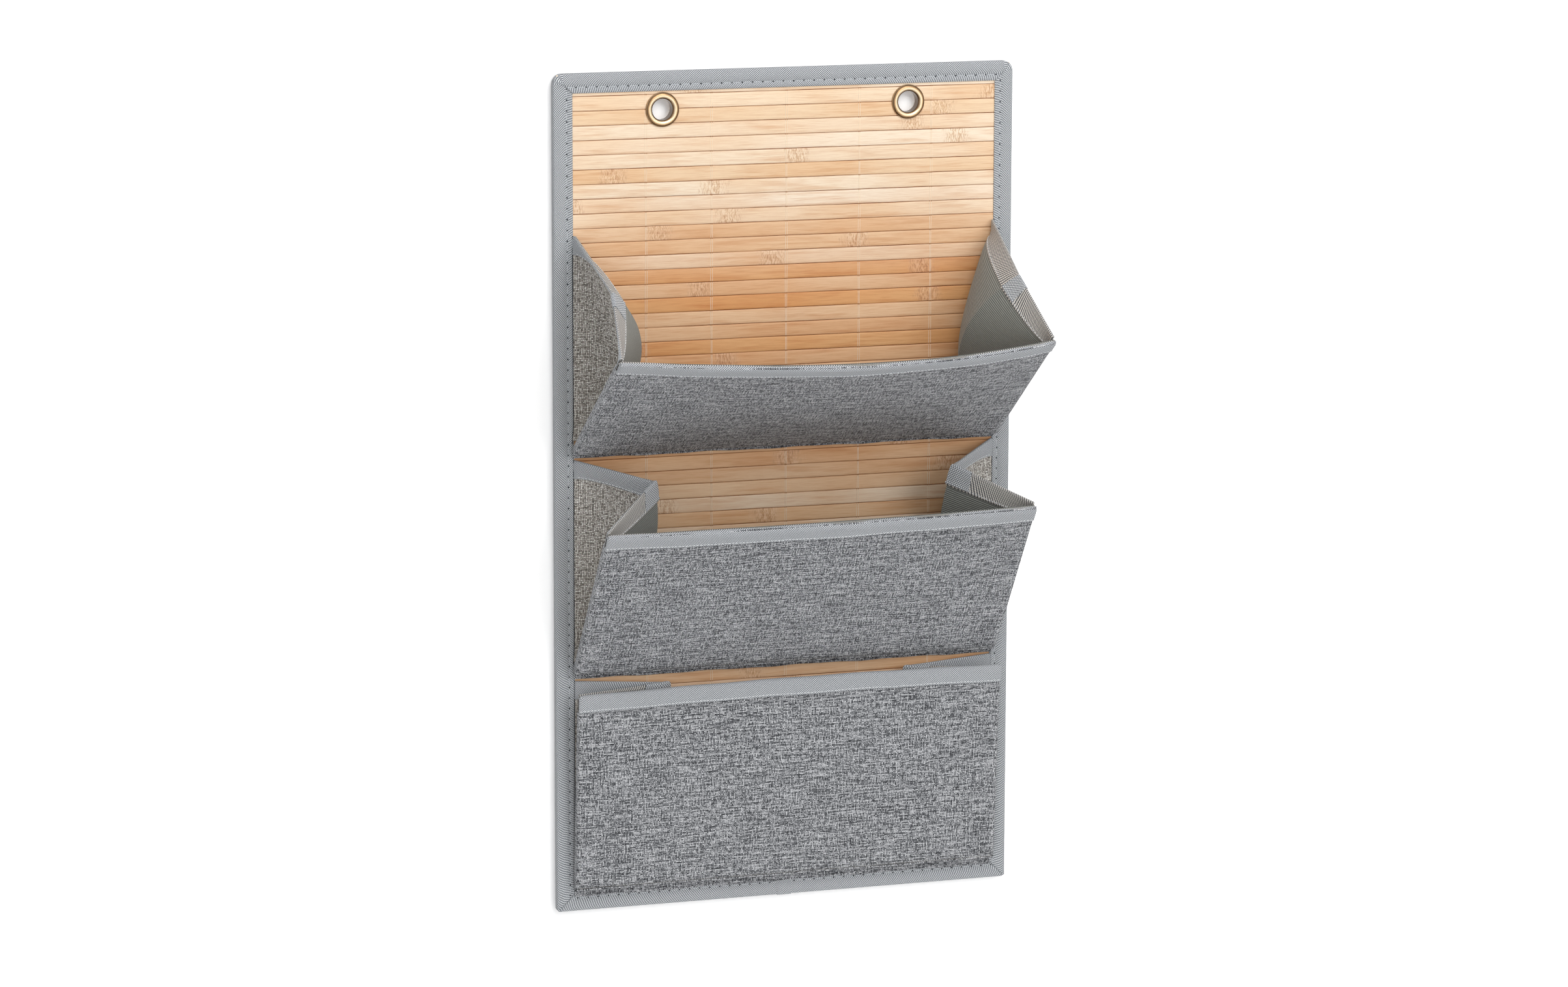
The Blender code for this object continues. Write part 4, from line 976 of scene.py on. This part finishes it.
class Plane:
    """A place to draw in: an origin with directions across, out and up. Each height leans further out by the share
    left (1-s)/2 + right (1+s)/2 + bow (1-s^2) (1+0.3s), where s runs from -1 to 1 across."""

    def __init__(self, origin, across, out, up, lean):
        self.origin, self.across, self.out, self.up = (np.array(v, float) for v in (origin, across, out, up))
        self.lean = lean

    def at(self, across, out, up):
        """Points in the row frame from distances across, out and up."""
        across, out, up = np.broadcast_arrays(across, out, up)
        left, right, bow = self.lean
        s = np.clip(across / POCKET_HALF, -1, 1)
        out = out + up * (left * (1 - s) / 2 + right * (1 + s) / 2 + bow * (1 - s**2) * (1 + 0.3 * s))
        return (
            self.origin
            + across[..., None] * self.across
            + out[..., None] * self.out
            + up[..., None] * self.up
        )


def front_plane(height, opening, lean):
    """The plane of a pocket's front: across is +X, out away from the pocket, up along the front from its hinge."""
    c, s = math.cos(opening), math.sin(opening)
    return Plane((0, HINGE_Y, height), (1, 0, 0), (0, -c, -s), (0, -s, c), lean)


def cloth_mesh(name, middle, normal, thickness, weave):
    """A thin sheet round a grid of middle points: half the thickness to each side along the normals, joined round
    its border. Each row of the grid becomes one ring."""
    upper = middle + normal * thickness / 2
    lower = middle - normal * thickness / 2
    rings = np.concatenate([upper, lower[:, ::-1]], axis=1)
    return ring_mesh(name, rings, np.concatenate([weave, weave[:, ::-1]], axis=1))


def grid_normals(points):
    """Unit normals of a grid: the cross product of its two directions at each point."""
    return unit(np.cross(np.gradient(points, axis=1), np.gradient(points, axis=0)))


def tape_section(inner, outer, width, thickness):
    """A tape folded over an edge, as distances down from the edge, distances out and run along the tape: a slim U
    whose legs end in slightly lifted hems."""
    radius = (outer - inner) / 2
    middle = (outer + inner) / 2
    bow = np.linspace(0, math.pi, 9)
    leg = np.array([width, width - 0.0006, width * 0.86, width * 0.5, width * 0.2, radius])
    puff = np.array([0.0, 0.00025, -0.0001, 0.0001, 0.0001, 0.0])
    downs = np.concatenate([leg, radius - radius * np.sin(bow), leg[::-1]])
    outs = np.concatenate([outer + puff, middle + radius * np.cos(bow), inner - puff[::-1]])
    inside = radius - thickness
    inside_down = np.concatenate([leg, radius - inside * np.sin(bow), leg[::-1]])
    inside_out = np.concatenate(
        [np.full(6, outer - thickness), middle + inside * np.cos(bow), np.full(6, inner + thickness)]
    )
    run = run_along(stacked(downs, outs))
    downs = np.concatenate([downs, inside_down[::-1]])
    outs = np.concatenate([outs, inside_out[::-1]])
    return downs, outs, np.concatenate([run, run[::-1]])


def tape_mesh(name, rings, run):
    """The tape's surface from its rings, woven along its own length and section, with its inner leg marked."""
    length = run_along(rings[:, rings.shape[1] // 4])
    return ring_mesh(name, rings, stacked(length[:, None], run[None, :], run[None, :] > run.max() / 2))


def declare_cloth(piece, body, node):
    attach(piece, body)
    if node:
        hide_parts(*node)


# Depths in a front, counted outwards from the plane through its hinge
FRONT_TAPE_INNER = 0.0025
LINING_INNER = 0.0032
LINING_THICKNESS = 0.0004
BOARD_MIDDLE = 0.0047
BOARD_THICKNESS = 0.0015
CLOTH_INNER = 0.0058
CLOTH_THICKNESS = 0.0007
CLOTH_OUTER = CLOTH_INNER + CLOTH_THICKNESS
FRONT_TAPE_OUTER = 0.0072
SIDE_HALF = POCKET_HALF + 0.0001 + CLOTH_THICKNESS
EDGE_RADIUS = 0.0018
FRONT_CROWN = 0.0022
# Depths in a gusset, counted inwards from its outer plane
GUSSET_OUTER = 0.0007
GUSSET_CLOTH = 0.00045
GUSSET_LINING = 0.0003
GUSSET_STACK = 0.0022
CORNER_TRIM = 0.006


# Fronts: each is a grey board with its cloth outside and its lining inside, all sewn together along the sides and
# bound by the tape at the rim. The cloth runs under the board to the hinge, and its hem is sewn flat to the mat.


def front_bulge(across_share, up_share):
    """How far the front's cloth stands out over the board: a low crown, with slack folds low at both ends."""
    crown = FRONT_CROWN * np.cos(across_share * math.pi / 2) ** 2 * np.sin(math.pi * np.clip(up_share, 0, 1)) ** 2
    slack = 0.0007 * np.sin(9 * across_share + 5 * up_share) * np.sin(math.pi * np.clip(up_share, 0, 1)) ** 2
    return crown + slack * 0.5


def build_front_board(pocket, plane):
    """The stiff board inside the front, bent with it."""
    name = f"{pocket}_front_grey_board"
    half = POCKET_HALF - 0.0007
    across, up = np.meshgrid(np.linspace(-half, half, 21), np.linspace(0.001, FRONT_HEIGHT - 0.0008, 3))
    middle = plane.at(across, BOARD_MIDDLE, up)
    mesh = cloth_mesh(name, middle, grid_normals(middle), BOARD_THICKNESS, stacked(across, up, 0.0))
    piece = link_piece(name, mesh, grey_board)
    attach(piece, f"{pocket}_front")
    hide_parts(f"{pocket}_front_board")


def build_front_cloth(pocket, plane, turned_edges):
    """The front's cloth: a wide channel round the board. Its section runs from the back of the left side round the
    edge, over the face and round to the back of the right side, and is carried up the front."""
    name = f"{pocket}_front_melange"
    top = FRONT_HEIGHT - 0.0007
    under_tape = FRONT_HEIGHT - RIM_TAPE_WIDTH
    rows = np.linspace(0.006, under_tape - 0.0005, 26)
    heights = np.concatenate([[0.0, 0.0012, 0.003], rows, [under_tape + 0.0005, top]])
    reach = SIDE_HALF - EDGE_RADIUS
    angle = np.linspace(math.pi, math.pi / 2, 6)
    face = np.linspace(-reach, reach, 49)[1:-1]
    rings, weaves = [], []
    for height in heights:
        back = 0.0003 if height < under_tape else CLOTH_OUTER - EDGE_RADIUS - 0.0002
        share = (height - 0.004) / (under_tape - 0.004)
        tuck = 0.0028 * np.clip(1 - height / 0.003, 0, 1) ** 2
        rounded_x = -reach + EDGE_RADIUS * np.cos(angle)
        rounded_o = CLOTH_OUTER - EDGE_RADIUS + EDGE_RADIUS * np.sin(angle)
        across = np.concatenate([[-SIDE_HALF], rounded_x, face, -rounded_x[::-1], [SIDE_HALF]])
        bulge = front_bulge(face / reach, share)
        out = np.concatenate([[back], rounded_o, CLOTH_OUTER + bulge, rounded_o[::-1], [back]]) - tuck
        out[[0, -1]] = back
        line = stacked(across, out)
        tangent = np.gradient(line, axis=0)
        normal = unit(stacked(-tangent[:, 1], tangent[:, 0]))
        inner = line - normal * CLOTH_THICKNESS
        inner[[0, -1], 1] = back
        inner[[0, -1], 0] = [-SIDE_HALF + CLOTH_THICKNESS, SIDE_HALF - CLOTH_THICKNESS]
        ring = np.concatenate([line, inner[::-1]])
        run = run_along(line)
        rings.append(plane.at(ring[:, 0], ring[:, 1], height))
        weaves.append(stacked(np.concatenate([run, run[::-1]]), height, 0.0))
    piece = link_piece(name, ring_mesh(name, np.stack(rings), np.stack(weaves)), front_melange)
    declare_cloth(
        piece, f"{pocket}_front", [f"{pocket}_front_cloth"],
    )


def build_pocket_floor(pocket, plane):
    """The cloth's bottom fold: it runs back under the board to a small roll on the hinge line."""
    name = f"{pocket}_front_fold"
    across = np.linspace(-POCKET_HALF, POCKET_HALF, 41)
    angle = np.linspace(-math.pi / 2, math.pi / 2, 7)
    out = np.concatenate([[0.0, 0.002, 0.004], 0.0049 + 0.0009 * np.cos(angle), [0.004, 0.002, 0.0]])
    up = np.concatenate([[-0.0009, -0.0008, -0.0008], 0.0 + 0.0008 * np.sin(angle), [0.0003, 0.0003, 0.0006]])
    wave = 0.0002 * np.sin(across * 57)[:, None]
    rings = plane.at(across[:, None], out[None, :], up[None, :] + wave * (out > 0.003))
    weave = stacked(across[:, None], run_along(stacked(out, up))[None, :], 0.0)
    faces = slat_faces(len(across), len(out), 0)
    piece = link_piece(name, closed_mesh(name, rings.reshape(-1, 3), faces, weave.reshape(-1, 3)), front_melange)
    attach(piece, f"{pocket}_front")
    return piece


def build_lining(pocket, plane):
    """The front's lining, flat on the inside of the board."""
    name = f"{pocket}_front_ribbed_lining"
    half = POCKET_HALF - 0.0003
    across, up = np.meshgrid(np.linspace(-half, half, 25), np.linspace(0.0007, FRONT_HEIGHT - 0.0007, 13))
    ripple = 0.00008 * np.sin(across * 61 + up * 23)
    middle = plane.at(across, LINING_INNER + LINING_THICKNESS / 2 + ripple, up)
    mesh = cloth_mesh(name, middle, grid_normals(middle), LINING_THICKNESS * 0.8, stacked(across, up, 0.0))
    piece = link_piece(name, mesh, ribbed_lining)
    declare_cloth(
        piece, f"{pocket}_front", [f"{pocket}_front_lining"],
    )


# The tape's ends are rounded over: this length of each drops and draws together
TAPE_END = 0.003
TAPE_END_DROP = 0.0024
TAPE_END_DRAW = 0.35


def build_front_tape(pocket, plane):
    """The tape folded over the front's top edge. The rim rises or sags by the share
    1 - ((x - crown) / (end + crown))^2, and its ends are rounded over."""
    name = f"{pocket}_front_rim_oxford"
    end = SIDE_HALF + 0.0003
    corner = end - TAPE_END * (1 - np.sin(np.linspace(0.15, math.pi / 2, 6)))
    across = np.concatenate([-corner[::-1], np.linspace(-end + 0.004, end - 0.004, 69), corner])
    downs, outs, run = tape_section(FRONT_TAPE_INNER, FRONT_TAPE_OUTER, RIM_TAPE_WIDTH, RIM_TAPE_THICKNESS)
    hump = np.clip(1 - ((across - RIM_CROWN_PLACE) / (SIDE_HALF + RIM_CROWN_PLACE)) ** 2, 0, 1)
    sag = 0.0002 * np.sin(across * 97) - RIM_CROWNS[pocket] * hump
    bulge = 0.0006 * np.cos(across / SIDE_HALF * math.pi / 2) ** 2 + 0.00025 * np.sin(across * 61 + 1)
    stout = outs + bulge[:, None] * np.clip(outs - 0.004, 0, 1) / 0.0032
    turned = np.clip((np.abs(across) - (end - TAPE_END)) / TAPE_END, 0, 1)[:, None]
    middle_out = (FRONT_TAPE_INNER + FRONT_TAPE_OUTER) / 2
    stout = middle_out + (stout - middle_out) * (1 - TAPE_END_DRAW * turned**3)
    fall = TAPE_END_DROP * (1 - np.sqrt(1 - 0.96 * turned**2)) * (1 - downs[None, :] / RIM_TAPE_WIDTH)
    rings = plane.at(across[:, None], stout, FRONT_HEIGHT - sag[:, None] - downs[None, :] - fall)
    piece = link_piece(name, tape_mesh(name, rings, run), oxford_tape)
    declare_cloth(
        piece, f"{pocket}_front", [f"{pocket}_front_rim_tape"],
    )
    kept = slice(1, -1)
    foot = FRONT_HEIGHT - RIM_TAPE_WIDTH + 0.0013
    line = plane.at(across[kept], FRONT_TAPE_OUTER + bulge[kept], foot - sag[kept])
    inside = plane.at(across[kept], FRONT_TAPE_INNER, foot - sag[kept])
    sew(
        f"{pocket}_front_rim_stitches", [(line, plane.out), (inside, -plane.out)],
        RIM_STITCH_PITCH, RIM_STITCH_COVER, RIM_STITCH_RADIUS, RIM_STITCH_SUNK, pale_thread,
        f"{pocket}_front",
    )
    # Both side edges of the front are sewn as well, from the hinge up to the tape
    height = np.linspace(0.006, FRONT_HEIGHT - RIM_TAPE_WIDTH - 0.001, 30)
    sides = [(plane.at(s * (SIDE_HALF - 0.0021), CLOTH_OUTER - 0.0002, height), plane.out) for s in (-1, 1)]
    sew(
        f"{pocket}_front_side_stitches", sides,
        SIDE_STITCH_PITCH, SIDE_STITCH_COVER, SIDE_STITCH_RADIUS, RIM_STITCH_SUNK, pale_thread,
        f"{pocket}_front",
    )


# The hem strip's back and front, and how far below the hinge its top and bottom lie
HEM_BACK = -0.0050
HEM_FRONT = -0.0065
HEM_TOP = 0.0012
HEM_BOTTOM = 0.0068


def build_hem_strip(pocket, height):
    """The folded edge of the front's cloth, sewn flat to the mat just under the hinge."""
    name = f"{pocket}_hem_melange"
    half = POCKET_HALF - 0.0003
    across = np.linspace(-half, half, 61)
    top, bottom = height - HEM_TOP, height - HEM_BOTTOM
    angle = np.linspace(math.pi / 2, -math.pi / 2, 7)
    middle, reach = (top + bottom) / 2, (top - bottom) / 2
    y = np.concatenate([[HEM_BACK, HEM_BACK], HEM_FRONT + 0.0004 - 0.0004 * np.cos(angle)])
    z = np.concatenate([[bottom + 0.0001, top - 0.0001], middle + reach * np.sin(angle)])
    wave = 0.0003 * np.sin(across * 83) + 0.0002 * np.sin(across * 190)
    rings = stacked(across[:, None], y[None, :], z[None, :] + wave[:, None])
    weave = stacked(across[:, None], run_along(stacked(y, z))[None, :], 0.0)
    faces = slat_faces(len(across), len(y), 0)
    piece = link_piece(name, closed_mesh(name, rings.reshape(-1, 3), faces, weave.reshape(-1, 3)), front_melange)
    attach(piece, "back_panel")
    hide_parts(f"{pocket}_hem_strip")
    line = stacked(across[1:-1], HEM_FRONT, top - 0.0010)
    sew(
        f"{pocket}_hem_stitches", [(line, (0, -1, 0))],
        RIM_STITCH_PITCH, RIM_STITCH_COVER, RIM_STITCH_RADIUS, RIM_STITCH_SUNK, pale_thread,
        "back_panel",
    )
    return piece


# Gussets: each side of a pocket is one cloth, folded inwards. Its rim is pulled straight by the tape, and lower down
# the slack cloth bellies into the pocket: it leaves its seams flat along the panel and the front, then turns to the
# crease. How far the crease stands inwards, and where its tip lies, differ from pocket to pocket.
CREASE_BULGES = {"upper": 0.033, "middle": 0.020, "lower": 0.016}
# Outwards, forwards and up from the place where straight halves would meet
TIP_SHIFTS = {"upper": (0.0029, 0.0070, -0.0092), "middle": (0.0047, 0.0023, 0.0121), "lower": (0.0, 0.0, 0.0185)}
GUSSET_BELLY = 0.066
PATCH_START_SHARE = 0.84
PATCH_DEPTH_SHARE = 0.97
SEAM_TUCK_BACK = 0.0019
SEAM_TUCK_OUT = 0.0009
# The binding covers this much of the gusset beside the panel, but for the lowest tenth of the seam
SEAM_COVER = 0.0014


def gusset_surface(half, rise, share):
    """A gusset half as a bent sheet. At each height it is the quadratic curve
    (1-u)^2 seam + 2u(1-u) control + u^2 crease, where u is the share of the way from the seam to the crease. Below
    the rim the control point moves from halfway to a place beside the seam, flat against what the cloth is sewn to.
    A share below nothing is the hem, tucked back under the binding."""
    rise, share = np.broadcast_arrays(np.asarray(rise, float), np.asarray(share, float))
    t, u = rise[..., None], np.clip(share, 0, 1)[..., None]
    slack = np.maximum(t * (1 - t), 0)
    seam = half["corner"] + t * half["seam"] + np.clip(t / 0.1, 0, 1) * half["cover"] * half["inward"]
    crease = half["corner"] + t * half["crease"] + 4 * half["bulge"] * slack * half["inward"] + t**3 * half["tip"]
    ease = np.clip((1 - t) / 0.1, 0, 1)
    flat = seam + half["belly"] * slack**0.6 * half["inward"]
    control = (seam + crease) / 2 * (1 - ease) + flat * ease
    tuck = np.clip(-share, 0, 1)[..., None] * half["tuck"]
    return (1 - u) ** 2 * seam + 2 * u * (1 - u) * control + u**2 * crease + tuck


def gusset_normals(half, rise, share):
    """Unit normals away from the pocket, from the sheet's two directions at each point."""
    step = 0.004
    share = np.clip(share, 0, 1 - step)
    rise = np.clip(rise, step, 1)
    across = gusset_surface(half, rise, share + step) - gusset_surface(half, rise, share)
    up = gusset_surface(half, rise, share) - gusset_surface(half, rise - step, share)
    return unit(half["turn"] * np.cross(up, across))


def gusset_outwards(half, other, rise, share):
    """The direction in which the cloth's layers are stacked: its own normal, which turns near the crease into the
    one that both halves share, lengthened there so that their layers meet."""
    rise, share = np.broadcast_arrays(np.asarray(rise, float), np.asarray(share, float))
    own = gusset_normals(half, rise, share)
    end = gusset_normals(half, rise, np.ones_like(share))
    shared = unit(end + gusset_normals(other, rise, np.ones_like(share)))
    stretch = np.minimum(1 / np.maximum((shared * end).sum(-1, keepdims=True), 0.01), 2.2)
    near = np.clip((share - 0.88) / 0.12, 0, 1)[..., None]
    near = near * near * (3 - 2 * near)
    return unit(own * (1 - near) + shared * near) * (1 + (stretch - 1) * near)


def gusset_halves(pocket, side, fold, plane, height):
    """Both halves of a gusset: their corner, seam, crease, slack and tip, and which way their normals turn."""
    inward = np.array([-side, 0.0, 0.0])
    corner = np.array([side * POCKET_HALF, HINGE_Y, height])
    lean = np.array([-side * math.sin(fold), -math.cos(fold), 0.0])
    crease = CREASE_LENGTH * (math.sin(CREASE_ANGLE) * lean + math.cos(CREASE_ANGLE) * np.array([0, 0, 1.0]))
    out, ahead, up = TIP_SHIFTS[pocket]
    tip = np.array([side * out, -ahead, up])
    rear = {
        "corner": corner, "crease": crease, "inward": inward, "tip": tip, "bulge": CREASE_BULGES[pocket],
        "seam": np.array([0, 0, REAR_SEAM_HEIGHT]), "belly": GUSSET_BELLY, "turn": side,
        "tuck": np.array([side * SEAM_TUCK_OUT, SEAM_TUCK_BACK, 0.0]), "height": REAR_SEAM_HEIGHT, "cover": SEAM_COVER,
    }
    front_seam = plane.at(side * POCKET_HALF, 0.0, FRONT_HEIGHT) - corner
    front = dict(rear, seam=front_seam, belly=GUSSET_BELLY * 0.55, turn=-side, height=FRONT_HEIGHT, cover=0.0)
    front["tuck"] = np.array([side * 0.0004, 0.0, 0.0]) + plane.out * 0.0012
    for half, edge in ((rear, rear["seam"]), (front, FRONT_HEIGHT * plane.up)):
        half["flat_normal"] = unit(np.cross(edge, crease))
    return rear, front


def flatten_when_moved(pieces):
    """Gives each piece a mesh of its own."""
    for piece in pieces:
        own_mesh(piece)


def build_crease_patch(base, half, other, body):
    """The tape's turned end, which laps the rim beside the crease: woven across the tape under it."""
    name = f"{base}_crease_oxford"
    width = PATCH_DEPTH_SHARE * GUSSET_TAPE_WIDTH
    downs, outs, section_run = tape_section(-GUSSET_STACK, 0.0, width, RIM_TAPE_THICKNESS)
    stations = np.linspace(PATCH_START_SHARE, 1.0, 8)
    rise, share = np.meshgrid(1 - downs / half["height"], stations, indexing="xy")
    # Its first edge lies slantwise, further out at the rim than at its foot
    share = share - 0.05 * (1 - share) / (1 - PATCH_START_SHARE) * (1 - downs[None, :] / GUSSET_TAPE_WIDTH)
    swell = 1.46 - 0.12 * (share < PATCH_START_SHARE + 0.01)
    depth = GUSSET_STACK / 2 - (outs[None, :] + GUSSET_STACK / 2) * swell
    rings = gusset_surface(half, rise + 0.0005 / half["height"], share)
    rings = rings - gusset_outwards(half, other, rise, share) * depth[..., None]
    length = run_along(rings[:, len(downs) // 4])
    weave = stacked(section_run[None, :], length[:, None], 0.0)
    patch = link_piece(name, ring_mesh(name, rings, weave), oxford_tape)
    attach(patch, body)
    return patch


def build_gusset_half(pocket, side_name, part, half, other, body, replaced):
    """A gusset half: melange cloth outside, ribbed lining inside and the tape over its rim, with its stitches."""
    base = f"{pocket}_{side_name}_{part}"
    shares = np.concatenate([[-1.0, -0.4], np.linspace(0, 1, 25)])
    top = 1 - 0.0008 / half["height"]
    rises = np.concatenate([[CORNER_TRIM / half["height"]], np.linspace(0.09, 0.86, 22), np.linspace(0.885, top, 7)])
    rise, share = np.meshgrid(rises, shares, indexing="ij")
    surface = gusset_surface(half, rise, share)
    outwards = gusset_outwards(half, other, rise, share)
    run = np.concatenate(
        [np.zeros((len(rises), 1)), np.cumsum(np.linalg.norm(np.diff(surface, axis=1), axis=-1), axis=1)], axis=1
    )
    moved = []
    layers = (
        ("melange", GUSSET_OUTER, GUSSET_CLOTH, gusset_melange, "melange_gusset_cloth", replaced),
        ("lining", GUSSET_OUTER + GUSSET_CLOTH + 0.00003, GUSSET_LINING, ribbed_lining, "ribbed_lining", None),
    )
    for layer, depth, thickness, finish, slot, nodes_replaced in layers:
        name = f"{base}_{layer}"
        middle = surface - outwards * (depth + thickness / 2)
        # The melange cloth is turned on its side, and the lining isn't
        ways = (rise * half["height"], run) if layer == "melange" else (run, rise * half["height"])
        weave = stacked(*ways, 0.0)
        piece = link_piece(name, cloth_mesh(name, middle, outwards, thickness, weave), finish)
        declare_cloth(piece, body, nodes_replaced)
        moved.append(piece)
    # The tape stands a little thicker at the crease
    downs, outs, section_run = tape_section(-GUSSET_STACK, 0.0, GUSSET_TAPE_WIDTH, RIM_TAPE_THICKNESS)
    stations = np.concatenate([[-1.0, -0.4], np.linspace(0, 0.86, 19), [0.872, 0.884, 0.91, 0.94, 0.97, 1.0]])
    rise, share = np.meshgrid(1 - downs / half["height"], stations, indexing="xy")
    swell = 1 + 0.1 * np.clip((share - 0.872) / 0.012, 0, 1)
    depth = GUSSET_STACK / 2 - (outs[None, :] + GUSSET_STACK / 2) * swell
    rings = gusset_surface(half, rise, share) - gusset_outwards(half, other, rise, share) * depth[..., None]
    tape_name = f"{base}_rim_oxford"
    tape = link_piece(tape_name, tape_mesh(tape_name, rings, section_run), oxford_tape)
    doubled = [build_crease_patch(base, half, other, body)] if part == "front" else []
    declare_cloth(
        tape, body, [f"{pocket}_{side_name}_gusset_{part}_tape"],
    )
    sewn = stations[3:-2]
    level = 1 - (GUSSET_TAPE_WIDTH - 0.0013) / half["height"]
    line = gusset_surface(half, level, sewn)
    away = gusset_outwards(half, other, level, sewn)
    lines = [(line, away), (line - away * GUSSET_STACK, -away)]
    stitches = sew(
        f"{base}_rim_stitches", lines,
        RIM_STITCH_PITCH, RIM_STITCH_COVER, RIM_STITCH_RADIUS, RIM_STITCH_SUNK, pale_thread,
        body,
    )
    flatten_when_moved(moved + [tape, stitches] + doubled)


# The dark strip in the gap beside each gusset's seam is painted shade, drawn with the needle holes' dark finish.
SEAM_SHADOW_Y = -0.0057
SEAM_SHADOW_RADIUS = 0.0004


def build_painted_seam_shadow(pocket, side_name, side, height):
    """A thin dark strip along the seam between the binding and the gusset: painted shade of the deep gap there."""
    name = f"{pocket}_{side_name}_painted_seam_shadow"
    level = np.linspace(height + 0.004, height + REAR_SEAM_HEIGHT, 40)
    ring_turn = np.arange(6) * math.pi / 3
    cover = SEAM_COVER * np.clip((level - height) / REAR_SEAM_HEIGHT / 0.1, 0, 1)
    x = side * (POCKET_HALF + 0.0004 - cover[:, None] + SEAM_SHADOW_RADIUS * np.cos(ring_turn)[None, :])
    y = SEAM_SHADOW_Y + SEAM_SHADOW_RADIUS * np.sin(ring_turn)
    rings = stacked(x, y[None, :], level[:, None])
    piece = link_piece(name, closed_mesh(name, rings.reshape(-1, 3), slat_faces(40, 6, 0)), hole_shade)
    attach(piece, "back_panel")


# Pale thread in short chain stitches, 2.6 mm each, along every rim tape and hem, and finer ones along the fronts' sides
RIM_STITCH_PITCH = 0.0026
RIM_STITCH_COVER = 0.82
RIM_STITCH_RADIUS = 0.0003
RIM_STITCH_SUNK = 0.0001
SIDE_STITCH_PITCH = 0.0032
SIDE_STITCH_COVER = 0.7
SIDE_STITCH_RADIUS = 0.00022
pale_thread = make_mottled("pale_polyester_thread", "#C9CCCF", "#F0F1F2", 0.6, 1800.0)

for pocket, height, opening in POCKETS:
    fold = math.acos(math.tan(opening / 2) / math.tan(CREASE_ANGLE))
    plane = front_plane(height, opening, FRONT_LEANS[pocket])
    build_front_board(pocket, plane)
    build_front_cloth(pocket, plane, [build_pocket_floor(pocket, plane), build_hem_strip(pocket, height)])
    build_lining(pocket, plane)
    build_front_tape(pocket, plane)
    for side_name, side in (("left", -1), ("right", 1)):
        rear, fore = gusset_halves(pocket, side, fold, plane, height)
        rear_node = [f"{pocket}_{side_name}_gusset_rear"]
        fore_nodes = [f"{pocket}_{side_name}_gusset_front", f"{pocket}_{side_name}_gusset_fold"]
        build_gusset_half(pocket, side_name, "rear", rear, fore, f"{pocket}_{side_name}_rear_half", rear_node)
        build_gusset_half(pocket, side_name, "front", fore, rear, f"{pocket}_{side_name}_front_half", fore_nodes)
        build_painted_seam_shadow(pocket, side_name, side, height)
